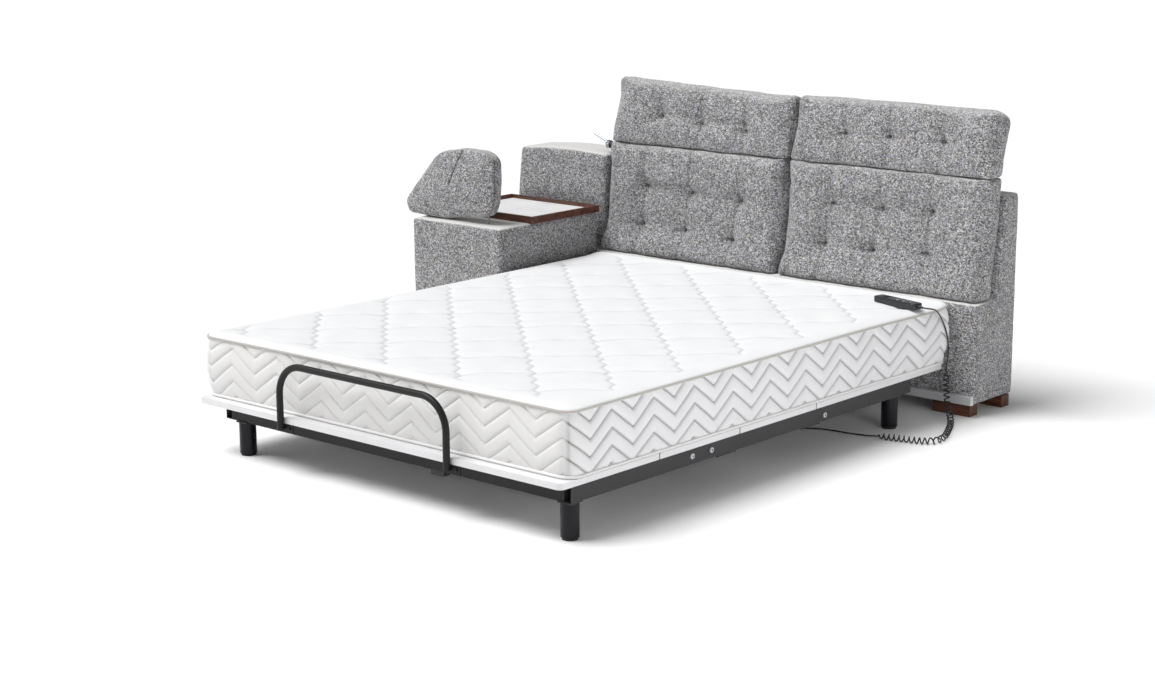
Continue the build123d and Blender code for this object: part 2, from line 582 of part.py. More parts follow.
# An angle under the deck holds each end of the bar, with one bolt beside it.
with BuildPart(bed) as retainer_brackets:
    for bar_x in (BAR_LEFT, BAR_RIGHT):
        limits_x = (bar_x - 16, bar_x + 44)
        block(limits_x, (0, 46), (DECK_BOTTOM - 4, DECK_BOTTOM))
        block(limits_x, (0, 4), (138, DECK_BOTTOM - 4))
        rod_y(bar_x + 28, (-5, 0), 151, 6)
retainer_brackets.part.label = "retainer_brackets"
export_step(retainer_brackets.part, "parts/retainer_brackets.step")

# ---------------------------------------------------------------- headboard
with BuildPart(bed) as headboard_body:
    with BuildSketch(lengthwise.offset(BOARD_LEFT)):
        Polygon((BOARD_FRONT, BOARD_BOTTOM), (BOARD_REAR, BOARD_BOTTOM), (BOARD_REAR, BOARD_TOP),
                (BOARD_TOP_FRONT, BOARD_TOP), (LEDGE_REAR, LEDGE_Z), (BOARD_FRONT, LEDGE_Z), align=None)
    extrude(amount=BOARD_RIGHT - BOARD_LEFT)
    fillet(headboard_body.edges().filter_by(Axis.X).group_by(Axis.Z)[-1], radius=14)
    fillet(headboard_body.edges().filter_by(Axis.Z).group_by(Axis.X)[-1], radius=8)
headboard_body.part.label = "headboard_body"
export_step(headboard_body.part, "parts/headboard_body.step")

# Aluminium rail along the lower front edge, with an end screw.
with BuildPart(bed) as headboard_rail:
    block((-760, BOARD_RIGHT), (1999, BOARD_FRONT), (46, 77))
    fillet(headboard_rail.edges().filter_by(Axis.X).group_by(Axis.Y)[0], radius=3)
    rod_x((BOARD_RIGHT, BOARD_RIGHT + 3), 2008, 62, 6)
headboard_rail.part.label = "headboard_rail"
export_step(headboard_rail.part, "parts/headboard_rail.step")

# Dark wooden blocks under the headboard and the cabinet.
FOOT_BLOCKS = [((745, 897), (2020, 2072)), ((790, 910), (2212, 2262)), ((-790, -640), (2020, 2072)),
               ((-790, -640), (2212, 2262)), ((-1292, -1212), (1500, 1550)), ((-920, -842), (1500, 1550)),
               ((-1292, -1212), (2200, 2262))]
with BuildPart(bed) as headboard_feet:
    for foot_x, foot_y in FOOT_BLOCKS:
        block(foot_x, foot_y, (0, BOARD_BOTTOM))
headboard_feet.part.label = "headboard_feet"
export_step(headboard_feet.part, "parts/headboard_feet.step")

SEAM_Z = 819.0
SEAM_FRONT = 2098.0
SEAM_REAR = 2195.0
CUSHION_FOOT_FRONT = 2062.0


def back_cushion(x):
    """Padded cushion that stands on the ledge and leans on the board."""
    with BuildSketch(lengthwise.offset(x[0])) as outline:
        Polygon((CUSHION_FOOT_FRONT, LEDGE_Z + 1), (LEDGE_REAR - 1.5, LEDGE_Z + 1), (BOARD_TOP_FRONT - 1.5, BOARD_TOP),
                (SEAM_REAR + 5, SEAM_Z), (SEAM_FRONT, SEAM_Z), align=None)
    extrude(outline.sketch, amount=x[1] - x[0])


HEADREST_LEAN = 16.6
HEADREST_HEIGHT = 232.0


def headrest(x):
    """Padded headrest above a back cushion, hinged along the front of the seam between them."""
    rise = (HEADREST_HEIGHT * sin(radians(HEADREST_LEAN)), HEADREST_HEIGHT * cos(radians(HEADREST_LEAN)))
    base = SEAM_Z + 4
    with BuildSketch(lengthwise.offset(x[0])) as outline:
        Polygon((SEAM_FRONT, base), (SEAM_REAR, base), (SEAM_REAR + rise[0] - 6, base + rise[1] - 26),
                (SEAM_FRONT + rise[0], base + rise[1]), align=None)
    extrude(outline.sketch, amount=x[1] - x[0])


LEFT_PAIR = (CUSHION_LEFT, CUSHION_SPLIT - CUSHION_GAP / 2)
RIGHT_PAIR = (CUSHION_SPLIT + CUSHION_GAP / 2, CUSHION_RIGHT)

with BuildPart(bed) as back_cushion_left:
    back_cushion(LEFT_PAIR)
    fillet(back_cushion_left.faces().sort_by(Axis.Y)[0].edges(), radius=22)
back_cushion_left.part.label = "back_cushion_left"
export_step(back_cushion_left.part, "parts/back_cushion_left.step")

with BuildPart(bed) as back_cushion_right:
    back_cushion(RIGHT_PAIR)
    fillet(back_cushion_right.faces().sort_by(Axis.Y)[0].edges(), radius=22)
back_cushion_right.part.label = "back_cushion_right"
export_step(back_cushion_right.part, "parts/back_cushion_right.step")

with BuildPart(bed) as headrest_left:
    headrest(LEFT_PAIR)
    fillet(headrest_left.faces().sort_by(Axis.Y)[0].edges(), radius=22)
headrest_left.part.label = "headrest_left"
export_step(headrest_left.part, "parts/headrest_left.step")

with BuildPart(bed) as headrest_right:
    headrest(RIGHT_PAIR)
    fillet(headrest_right.faces().sort_by(Axis.Y)[0].edges(), radius=22)
headrest_right.part.label = "headrest_right"
export_step(headrest_right.part, "parts/headrest_right.step")

# ---------------------------------------------------------------- side unit
STEP_TOP = 380.0
with BuildPart(bed) as low_back_block:
    with BuildSketch(crosswise.offset(-BLOCK_FRONT)) as block_face:
        Polygon((-1356, BOARD_BOTTOM), (BOARD_LEFT - 2, BOARD_BOTTOM), (BOARD_LEFT - 2, 771), (-1288, 764),
                align=None)
        fillet(block_face.vertices().group_by(Axis.Z)[-1].sort_by(Axis.X)[0], radius=30)
    extrude(amount=-(BOARD_REAR - BLOCK_FRONT))
    fillet(low_back_block.faces().sort_by(Axis.Y)[0].edges().group_by(Axis.Z)[-1], radius=18)
    # A lower step in front, behind the cabinet, which is fixed to it.
    block((CABINET_LEFT, BOARD_LEFT - 2), (CABINET_REAR + 4, BLOCK_FRONT), (BOARD_BOTTOM, STEP_TOP))
low_back_block.part.label = "low_back_block"
export_step(low_back_block.part, "parts/low_back_block.step")

# The side cushion's two stays slide in guide bores in the cabinet's top.
STAY_PLACES = [(-1275.0, 1544.0), (-950.0, 1544.0)]
STAY_BOTTOM = 400.0
GUIDE_BOTTOM = 390.0
with BuildPart(bed) as cabinet:
    block((CABINET_LEFT, CABINET_RIGHT), (CABINET_FRONT, CABINET_REAR), (BOARD_BOTTOM, CABINET_TOP))
    fillet(cabinet.edges().filter_by(Axis.Z).group_by(Axis.Y)[0], radius=10)
    fillet(cabinet.faces().sort_by(Axis.Z)[-1].edges(), radius=6)
    for stay_x, stay_y in STAY_PLACES:
        rod_z(stay_x, stay_y, (GUIDE_BOTTOM, CABINET_TOP), STAY_RADIUS + 0.08, mode=Mode.SUBTRACT)
cabinet.part.label = "cabinet"
export_step(cabinet.part, "parts/cabinet.step")

# Tray: a wooden rim on a thin base round a white panel. It stands on the cabinet and overhangs its right side.
TRAY_X = (-1302.0, -824.0)
TRAY_Y = (1652.0, 2046.0)
TRAY_BASE = CABINET_TOP
TRAY_TOP = 573.0
PANEL_TOP = 559.0
RIM = 12.0
with BuildPart(bed) as tray_rim:
    block(TRAY_X, TRAY_Y, (TRAY_BASE, TRAY_TOP))
    fillet(tray_rim.edges().filter_by(Axis.Z), radius=6)
    block((TRAY_X[0] + RIM, TRAY_X[1] - RIM), (TRAY_Y[0] + RIM, TRAY_Y[1] - RIM), (TRAY_BASE + 4, TRAY_TOP + 1),
          mode=Mode.SUBTRACT)
tray_rim.part.label = "tray_rim"
export_step(tray_rim.part, "parts/tray_rim.step")

with BuildPart(bed) as tray_top:
    block((TRAY_X[0] + RIM, TRAY_X[1] - RIM), (TRAY_Y[0] + RIM, TRAY_Y[1] - RIM), (TRAY_BASE + 4, PANEL_TOP))
tray_top.part.label = "tray_top"
export_step(tray_top.part, "parts/tray_top.step")

with BuildPart(bed) as side_cushion:
    with BuildSketch(crosswise.offset(-1502)) as cushion_face:
        Polygon((-1352, 553), (-1150, 551), (-928, 580), (-904, 640), (-900, 790), (-955, 819), (-1070, 821),
                (-1170, 806), (-1212, 780), (-1372, 606), align=None)
        fillet(cushion_face.vertices(), radius=14)
    extrude(amount=-84)
    fillet(side_cushion.faces().filter_by(Axis.Y).edges(), radius=12)
side_cushion.part.label = "side_cushion"
export_step(side_cushion.part, "parts/side_cushion.step")

with BuildPart(bed) as cushion_stays:
    for (stay_x, stay_y), top in zip(STAY_PLACES, (600.0, 620.0)):
        rod_z(stay_x, stay_y, (STAY_BOTTOM, top), STAY_RADIUS)
cushion_stays.part.label = "cushion_stays"
export_step(cushion_stays.part, "parts/cushion_stays.step")

# ---------------------------------------------------------------- reading lamp
LAMP_Y = 2140.0
LAMP_Z = 803.0
LAMP_FACE = CUSHION_LEFT
with BuildPart(bed) as lamp_base:
    rod_x((LAMP_FACE - 16, LAMP_FACE), LAMP_Y, LAMP_Z, 12)
    fillet(lamp_base.faces().sort_by(Axis.X)[0].edges(), radius=2)
lamp_base.part.label = "lamp_base"
export_step(lamp_base.part, "parts/lamp_base.step")

LAMP_DISC = (LAMP_FACE - 30, LAMP_FACE - 16.3)
with BuildPart(bed) as lamp_head:
    rod_x(LAMP_DISC, LAMP_Y, LAMP_Z, 16)
    fillet(lamp_head.faces().sort_by(Axis.X)[0].edges(), radius=3)
    with BuildLine(crosswise.offset(-LAMP_Y)) as lamp_path:
        Line((LAMP_FACE - 27, LAMP_Z + 6), (LAMP_FACE - 104, LAMP_Z + 38))
    with BuildSketch(Plane(origin=lamp_path.line @ 0, z_dir=lamp_path.line % 0)):
        Circle(4)
    sweep(path=lamp_path.line)
lamp_head.part.label = "lamp_head"
export_step(lamp_head.part, "parts/lamp_head.step")

# ---------------------------------------------------------------- handset
HANDSET_PLACE = (703.0, 1847.5, MATTRESS_TOP + 0.5)
turn = radians(HANDSET_TURN)
handset_plane = Plane(origin=(MID_X + HANDSET_PLACE[0], FOOT_Y + HANDSET_PLACE[1], HANDSET_PLACE[2]),
                      x_dir=(cos(turn), sin(turn), 0), z_dir=(0, 0, 1))
BUTTON_FLOOR = 13.0
BUTTON_PLACES = {"button_back_up": (10, 10), "button_back_down": (10, -10), "button_legs_up": (40, 10),
                 "button_legs_down": (40, -10)}
with BuildPart(handset_plane) as handset_body:
    block((-HANDSET_LENGTH / 2, HANDSET_LENGTH / 2), (-HANDSET_WIDTH / 2, HANDSET_WIDTH / 2), (0, HANDSET_HEIGHT))
    fillet(handset_body.edges().filter_by(Axis.Z), radius=12)
    fillet(handset_body.faces().sort_by(Axis.Z)[-1].edges(), radius=5)
    fillet(handset_body.faces().sort_by(Axis.Z)[0].edges(), radius=4)
    for button_x, button_y in BUTTON_PLACES.values():
        rod_z(button_x, button_y, (BUTTON_FLOOR, HANDSET_HEIGHT), BUTTON_RADIUS + 0.3, mode=Mode.SUBTRACT)
handset_body.part.label = "handset_body"
export_step(handset_body.part, "parts/handset_body.step")

BUTTON_BOTTOM = BUTTON_FLOOR + 2
BUTTON_TOP = HANDSET_HEIGHT + 2
for button_name, (button_x, button_y) in BUTTON_PLACES.items():
    with BuildPart(handset_plane) as button:
        rod_z(button_x, button_y, (BUTTON_BOTTOM, BUTTON_TOP), BUTTON_RADIUS)
        fillet(button.faces().sort_by(Axis.Z)[-1].edges(), radius=0.8)
    button.part.label = button_name
    export_step(button.part, f"parts/{button_name}.step")

# A wire hook at the far end, for hanging the handset on the bed.
HOOK_RADIUS = 9.0
with BuildPart(handset_plane) as handset_hook:
    with Locations((-HANDSET_LENGTH / 2 - 3, 0, 10)):
        Torus(HOOK_RADIUS, 2)
    block((-HANDSET_LENGTH / 2, 10), (-20, 20), (0, 20), mode=Mode.SUBTRACT)
handset_hook.part.label = "handset_hook"
export_step(handset_hook.part, "parts/handset_hook.step")

RELIEF_LENGTH = 22.0
RELIEF_Z = 10.5
with BuildPart(handset_plane) as strain_relief:
    with Locations((HANDSET_LENGTH / 2 + RELIEF_LENGTH / 2, 0, RELIEF_Z)):
        Cone(6, 3.6, RELIEF_LENGTH, rotation=(0, 90, 0))
strain_relief.part.label = "strain_relief"
export_step(strain_relief.part, "parts/strain_relief.step")

# ---------------------------------------------------------------- cord
# The routes are in the bed's coordinates. The curly cord is one fat tube of its outer diameter.
def beyond_relief(distance):
    """A point on the handset's long axis, past the tip of its strain relief."""
    reach = HANDSET_LENGTH / 2 + RELIEF_LENGTH + distance
    return (HANDSET_PLACE[0] + reach * cos(turn), HANDSET_PLACE[1] + reach * sin(turn), HANDSET_PLACE[2] + RELIEF_Z)


UPPER_LEAD = [beyond_relief(0), beyond_relief(16), (849, 1829, 409), (850, 1852, 403), (845, 1880, 388),
              (838, 1912, 364), (832, 1944, 332), (829, 1968, 296), (828, 1980, 258), (829, 1981, 222),
              (828, 1976, 196), (828, 1970, 176)]
CURLY_CORD = [(828, 1970, 176), (829, 1971, 120), (838, 1966, 62), (868, 1940, 20), (920, 1865, 12.5),
              (966, 1772, 12.5), (1003, 1690, 12.5), (1003, 1628, 12.5), (946, 1597, 12.5), (880, 1583, 12.5),
              (826, 1566, 12.5)]
LOWER_LEAD = [(826, 1566, 12.5), (795, 1560, 9), (752, 1570, 3.2), (700, 1561, 3), (640, 1558, 3), (580, 1540, 3),
              (530, 1500, 3), (500, 1440, 3), (478, 1376, 3), (452, 1316, 4), (432, 1256, 11), (420, 1199, 22),
              (416, 1150, 32), (418, 1112, 52), (415, 1085, 78), (415, 1085, 100)]


def corner_radii(points):
    """The largest radius that fits each corner of a route: 0.45 of its shorter run."""
    radii = []
    for before, corner, after in zip(points, points[1:], points[2:]):
        arriving = Vector(*corner) - Vector(*before)
        leaving = Vector(*after) - Vector(*corner)
        half_turn = radians(arriving.get_angle(leaving)) / 2
        radii.append(0.45 * min(arriving.length, leaving.length) / tan(half_turn))
    return radii


def cord_tube(points, radius):
    """A round cord through the points, with the largest arc that fits at each corner."""
    with BuildLine(bed) as route:
        FilletPolyline(*points, radius=corner_radii(points))
    with BuildSketch(Plane(origin=route.line @ 0, z_dir=route.line % 0)) as section:
        Circle(radius)
    sweep(section.sketch, path=route.line)
    return route.wire().length


with BuildPart(bed) as handset_lead:
    handset_lead_length = cord_tube(UPPER_LEAD, LEAD_RADIUS)
handset_lead.part.label = "handset_lead"
export_step(handset_lead.part, "parts/handset_lead.step")

with BuildPart(bed) as curly_cord:
    curly_cord_length = cord_tube(CURLY_CORD, COIL_RADIUS)
curly_cord.part.label = "curly_cord"
export_step(curly_cord.part, "parts/curly_cord.step")

with BuildPart(bed) as control_lead:
    control_lead_length = cord_tube(LOWER_LEAD, LEAD_RADIUS)
control_lead.part.label = "control_lead"
export_step(control_lead.part, "parts/control_lead.step")

for name, route_points in (("handset_lead", UPPER_LEAD), ("curly_cord", CURLY_CORD), ("control_lead", LOWER_LEAD)):
    print(name, "radii", [round(radius) for radius in corner_radii(route_points)])
print("cord lengths", round(handset_lead_length), round(curly_cord_length), round(control_lead_length))
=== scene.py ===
"""Looks for the adjustable bed: quilted mattress, tufted headboard, side cabinet and the handset's curly cord."""
import json
import math

import bmesh
import bpy
import numpy as np
from mathutils import Matrix, Vector, noise


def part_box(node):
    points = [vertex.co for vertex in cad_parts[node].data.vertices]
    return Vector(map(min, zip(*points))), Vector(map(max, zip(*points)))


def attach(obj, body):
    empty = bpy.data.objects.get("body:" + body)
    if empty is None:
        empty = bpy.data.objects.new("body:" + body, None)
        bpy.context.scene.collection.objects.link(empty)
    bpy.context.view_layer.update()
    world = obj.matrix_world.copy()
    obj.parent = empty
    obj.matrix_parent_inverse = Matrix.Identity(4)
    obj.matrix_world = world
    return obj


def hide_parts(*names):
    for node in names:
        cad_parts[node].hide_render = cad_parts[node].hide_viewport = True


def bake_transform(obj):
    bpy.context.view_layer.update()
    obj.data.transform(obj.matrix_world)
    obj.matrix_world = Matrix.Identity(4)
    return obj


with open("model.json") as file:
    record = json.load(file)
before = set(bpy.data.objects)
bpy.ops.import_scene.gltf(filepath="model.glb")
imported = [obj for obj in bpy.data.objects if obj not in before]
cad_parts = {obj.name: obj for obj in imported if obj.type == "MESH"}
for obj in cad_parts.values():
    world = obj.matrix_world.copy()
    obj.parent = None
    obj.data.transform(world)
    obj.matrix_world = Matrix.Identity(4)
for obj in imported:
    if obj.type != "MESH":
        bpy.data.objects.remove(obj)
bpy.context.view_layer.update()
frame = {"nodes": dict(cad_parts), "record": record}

NODES = frame["nodes"]

# The bed's own coordinates, in millimetres: X across from its centreline, Y from the deck's foot edge, Z up.
MID_X, FOOT_Y = 227.46, -1131.5


def at(x, y, z):
    """A point given in the bed's coordinates, in the frame's metres."""
    return Vector(((x + MID_X) / 1000, (y + FOOT_Y) / 1000, z / 1000))


def to_frame(points):
    """An array of bed points, in the frame's metres."""
    return (np.asarray(points, float) + (MID_X, FOOT_Y, 0)) / 1000


def link(name, content):
    """A new object in the scene that shows a mesh, curve, light or camera."""
    obj = bpy.data.objects.new(name, content)
    bpy.context.scene.collection.objects.link(obj)
    return obj


# ---------------------------------------------------------------- camera
YAW, PITCH, ROLL = math.radians(41.54), math.radians(12.43), math.radians(-0.30)
forward = Vector((-math.sin(YAW) * math.cos(PITCH), math.cos(YAW) * math.cos(PITCH), -math.sin(PITCH)))
level = Vector((math.cos(YAW), math.sin(YAW), 0))
upright = level.cross(forward)
right = level * math.cos(ROLL) + upright * math.sin(ROLL)
up = -level * math.sin(ROLL) + upright * math.cos(ROLL)
camera = link("camera", bpy.data.cameras.new("camera"))
camera.data.sensor_width = 36
camera.data.lens = 67.84
camera.data.clip_end = 200
camera.matrix_world = Matrix((right, up, -forward)).transposed().to_4x4()
camera.location = at(4746.4, -4379.1, 1894.5)
bpy.context.scene.camera = camera


# ---------------------------------------------------------------- mesh helpers
def unit(values):
    return np.clip(values, 0, 1)


def bell(gap, width):
    """1 where gap is nothing, fading away over width."""
    return np.exp(-(gap / width) ** 2)


def mesh_object(name, points, faces, uv=None, slots=None):
    """A smooth mesh from frame points and faces, with optional UVs per vertex and material slots per face."""
    mesh = bpy.data.meshes.new(name)
    mesh.from_pydata([tuple(p) for p in points], [], faces)
    mesh.shade_smooth()
    if uv is not None:
        layer = mesh.uv_layers.new(name="UVMap")
        loops = np.zeros(len(mesh.loops), np.int32)
        mesh.loops.foreach_get("vertex_index", loops)
        layer.data.foreach_set("uv", np.asarray(uv, np.float32)[loops].ravel())
    if slots is not None:
        mesh.polygons.foreach_set("material_index", np.asarray(slots, np.int32))
    mesh.update()
    return link(name, mesh)


def coordinates(mesh):
    points = np.zeros(len(mesh.vertices) * 3)
    mesh.vertices.foreach_get("co", points)
    return points.reshape(-1, 3)


def set_coordinates(mesh, points):
    mesh.vertices.foreach_set("co", points.ravel())
    mesh.update()


def paint(obj, attribute, values):
    """Stores one number per vertex for the materials to read."""
    layer = obj.data.attributes.new(attribute, "FLOAT", "POINT")
    layer.data.foreach_set("value", values.astype(np.float32))


def object_from(form, name, smooth=True):
    mesh = bpy.data.meshes.new(name)
    form.to_mesh(mesh)
    form.free()
    if smooth:
        mesh.shade_smooth()
    return link(name, mesh)


def bake_modifiers(obj):
    """Makes the result of obj's modifiers its mesh."""
    graph = bpy.context.evaluated_depsgraph_get()
    mesh = bpy.data.meshes.new_from_object(obj.evaluated_get(graph))
    obj.modifiers.clear()
    obj.data = mesh
    return obj


def tube(path, radius, sides, closed=False):
    """Vertices and faces of a round tube along a path, without twist; radius is one number or one per point."""
    path = np.asarray(path, float)
    count = len(path)
    radii = np.broadcast_to(np.asarray(radius, float), (count,))
    ahead = np.roll(path, -1, 0) - np.roll(path, 1, 0)
    if not closed:
        ahead[0], ahead[-1] = path[1] - path[0], path[-1] - path[-2]
    ahead /= np.linalg.norm(ahead, axis=1)[:, None]
    side = np.cross(ahead[0], (0, 0, 1) if abs(ahead[0][2]) < 0.9 else (1, 0, 0))
    points = []
    turns = np.arange(sides) * 2 * math.pi / sides
    for i in range(count):
        side = side - ahead[i] * (side @ ahead[i])
        side /= np.linalg.norm(side)
        other = np.cross(ahead[i], side)
        points.append(path[i] + radii[i] * (np.outer(np.cos(turns), side) + np.outer(np.sin(turns), other)))
    points = np.concatenate(points)
    faces = []
    for i in range(count if closed else count - 1):
        j = (i + 1) % count
        for k in range(sides):
            m = (k + 1) % sides
            faces.append((i * sides + k, i * sides + m, j * sides + m, j * sides + k))
    if not closed:
        faces.append(tuple(range(sides))[::-1])
        faces.append(tuple((count - 1) * sides + k for k in range(sides)))
    return points, faces


# ---------------------------------------------------------------- handset cord
UPPER_LEAD = [(821.7, 1819.4, 411), (837.3, 1815.7, 411), (849, 1829, 409), (850, 1852, 403), (845, 1880, 388),
              (838, 1912, 364), (832, 1944, 332), (829, 1968, 296), (828, 1980, 258), (829, 1981, 222),
              (828, 1976, 196)]
COIL_START = (828, 1970, 176)
CURLY_CORD = [(829, 1971, 120), (838, 1966, 62), (868, 1940, 20), (920, 1865, 12.5), (966, 1772, 12.5),
              (1003, 1690, 12.5), (1003, 1628, 12.5), (946, 1597, 12.5), (880, 1583, 12.5)]
COIL_END = (812, 1562, 12.5)
OPEN_START, OPEN_END = (868, 1940, 20), (1003, 1628, 12.5)
LOWER_LEAD = [(795, 1560, 9), (752, 1570, 3.2), (700, 1561, 3), (640, 1558, 3), (580, 1540, 3), (530, 1500, 3),
              (500, 1440, 3), (478, 1376, 3), (452, 1316, 4), (432, 1256, 11), (420, 1199, 22), (416, 1150, 32),
              (418, 1112, 52), (415, 1085, 78), (415, 1085, 100)]
WIRE_RADIUS = 0.0025
COIL_RADIUS = 0.0095      # from the coil's middle to the wire's
CLOSE_PITCH = 0.0175      # from turn to turn where the coil hangs and where it ends
OPEN_PITCH = 0.030        # and where it is drawn out on the floor
TURN_STEPS = 16


def step_lengths(line):
    return np.linalg.norm(np.diff(line, axis=0), axis=1)


def spline_points(points):
    """Points along the smooth NURBS line that the given ones control."""
    curve = bpy.data.curves.new("route", "CURVE")
    curve.dimensions = "3D"
    spline = curve.splines.new("NURBS")
    spline.points.add(len(points) - 1)
    for place, point in zip(spline.points, points):
        place.co = (*at(*point), 1)
    spline.order_u = 3
    spline.use_endpoint_u = True
    spline.resolution_u = 12
    carrier = link("route", curve)
    graph = bpy.context.evaluated_depsgraph_get()
    mesh = bpy.data.meshes.new_from_object(carrier.evaluated_get(graph))
    result = coordinates(mesh)
    bpy.data.objects.remove(carrier)
    bpy.data.meshes.remove(mesh)
    return result


route = spline_points([*UPPER_LEAD, COIL_START, *CURLY_CORD, COIL_END, *LOWER_LEAD])
if (Vector(route[0]) - at(*UPPER_LEAD[0])).length > 0.001:
    route = route[::-1]
travel = np.concatenate([[0], np.cumsum(step_lengths(route))])


def nearest_travel(point):
    return travel[np.argmin(np.linalg.norm(route - np.array(at(*point)), axis=1))]


def along_route(distance):
    return np.array([np.interp(distance, travel, route[:, i]) for i in range(3)])


coil_from, coil_to, open_from, open_to = map(nearest_travel, (COIL_START, COIL_END, OPEN_START, OPEN_END))
coil_line = np.linspace(coil_from, coil_to, 2000)
drawn = unit((coil_line - open_from) / 0.10 + 0.5) * unit((open_to - coil_line) / 0.06 + 0.5)
pitch = CLOSE_PITCH + (OPEN_PITCH - CLOSE_PITCH) * drawn
turns = np.concatenate([[0], np.cumsum(np.diff(coil_line) / (0.5 * (pitch[1:] + pitch[:-1])))])
turn_count = round(turns[-1])
turns *= turn_count / turns[-1]
wire = [p for p, t in zip(route, travel) if t < coil_from]
side = np.array((1.0, 0, 0))
for step in range(turn_count * TURN_STEPS + 1):
    distance = np.interp(step / TURN_STEPS, turns, coil_line)
    middle = along_route(distance)
    ahead = along_route(distance + 0.002) - along_route(distance - 0.002)
    ahead /= np.linalg.norm(ahead)
    side = side - ahead * (side @ ahead)
    side /= np.linalg.norm(side)
    other = np.cross(ahead, side)
    angle = 2 * math.pi * step / TURN_STEPS
    ends = min(1, 0.5 * step / TURN_STEPS, 0.5 * (turn_count - step / TURN_STEPS))
    reach = COIL_RADIUS * ends * ends * (3 - 2 * ends)
    wire.append(middle + reach * (side * math.cos(angle) + other * math.sin(angle)))
wire += [p for p, t in zip(route, travel) if t > coil_to]
wire = np.array(wire)
wire = wire[np.concatenate([[True], step_lengths(wire) > 0.0004])]
cord_points, cord_faces = tube(wire, WIRE_RADIUS, 10)
cord = mesh_object("handset_cord", cord_points, cord_faces)
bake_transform(cord)
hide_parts("handset_lead", "curly_cord", "control_lead")


# ---------------------------------------------------------------- materials
def shader(name, color=(0.8, 0.8, 0.8), roughness=0.5, metallic=0.0, specular=0.5, sheen=0.0):
    """A material with one Principled shader; constant values stay on its own sockets."""
    material = bpy.data.materials.new(name)
    material.use_nodes = True
    tree = material.node_tree
    surface = tree.nodes["Principled BSDF"]
    surface.inputs["Base Color"].default_value = (*color, 1)
    surface.inputs["Roughness"].default_value = roughness
    surface.inputs["Metallic"].default_value = metallic
    surface.inputs["Specular IOR Level"].default_value = specular
    surface.inputs["Sheen Weight"].default_value = sheen
    surface.inputs["Sheen Roughness"].default_value = 0.5
    return material, tree, surface


def add(tree, kind, inputs=(), **settings):
    """A node with some inputs set or linked; inputs is a dict of socket to value or output."""
    node = tree.nodes.new(kind)
    for key, value in settings.items():
        setattr(node, key, value)
    for socket, value in dict(inputs).items():
        if isinstance(value, bpy.types.NodeSocket):
            tree.links.new(value, node.inputs[socket])
        else:
            node.inputs[socket].default_value = value
    return node


def math_node(tree, operation, a, b):
    return add(tree, "ShaderNodeMath", {0: a, 1: b}, operation=operation).outputs[0]


def ramp(tree, value, stops):
    """A colour ramp; each stop is a place and a grey level or colour."""
    node = add(tree, "ShaderNodeValToRGB", {0: value})
    elements = node.color_ramp.elements
    while len(elements) < len(stops):
        elements.new(0.5)
    for element, (place, color) in zip(elements, stops):
        element.position = place
        element.color = (*color, 1) if isinstance(color, tuple) else (color, color, color, 1)
    return node.outputs["Color"]


def mix(tree, factor, a, b, blend="MIX"):
    node = add(tree, "ShaderNodeMix", {0: factor}, data_type="RGBA", blend_type=blend)
    for socket, value in ((6, a), (7, b)):
        if isinstance(value, bpy.types.NodeSocket):
            tree.links.new(value, node.inputs[socket])
        else:
            node.inputs[socket].default_value = (*value, 1)
    return node.outputs[2]


def object_place(tree, scale=(1, 1, 1)):
    """Frame coordinates in metres, times scale."""
    place = add(tree, "ShaderNodeTexCoord").outputs["Object"]
    if scale == (1, 1, 1):
        return place
    return add(tree, "ShaderNodeVectorMath", {0: place, 1: scale}, operation="MULTIPLY").outputs[0]


def painted_value(tree, attribute):
    return add(tree, "ShaderNodeAttribute", attribute_name=attribute, attribute_type="GEOMETRY").outputs["Fac"]


def speckle(tree, place, scale, detail, distortion=0.0):
    """Soft noise, from 0 to 1."""
    return add(tree, "ShaderNodeTexNoise", {"Vector": place, "Scale": scale, "Detail": detail,
                                            "Distortion": distortion}).outputs["Fac"]


def cover(tree, surface, color, height, strength, distance):
    """Gives the shader its colour and its bumps."""
    tree.links.new(color, surface.inputs["Base Color"])
    node = add(tree, "ShaderNodeBump", {"Height": height, "Strength": strength, "Distance": distance})
    tree.links.new(node.outputs["Normal"], surface.inputs["Normal"])


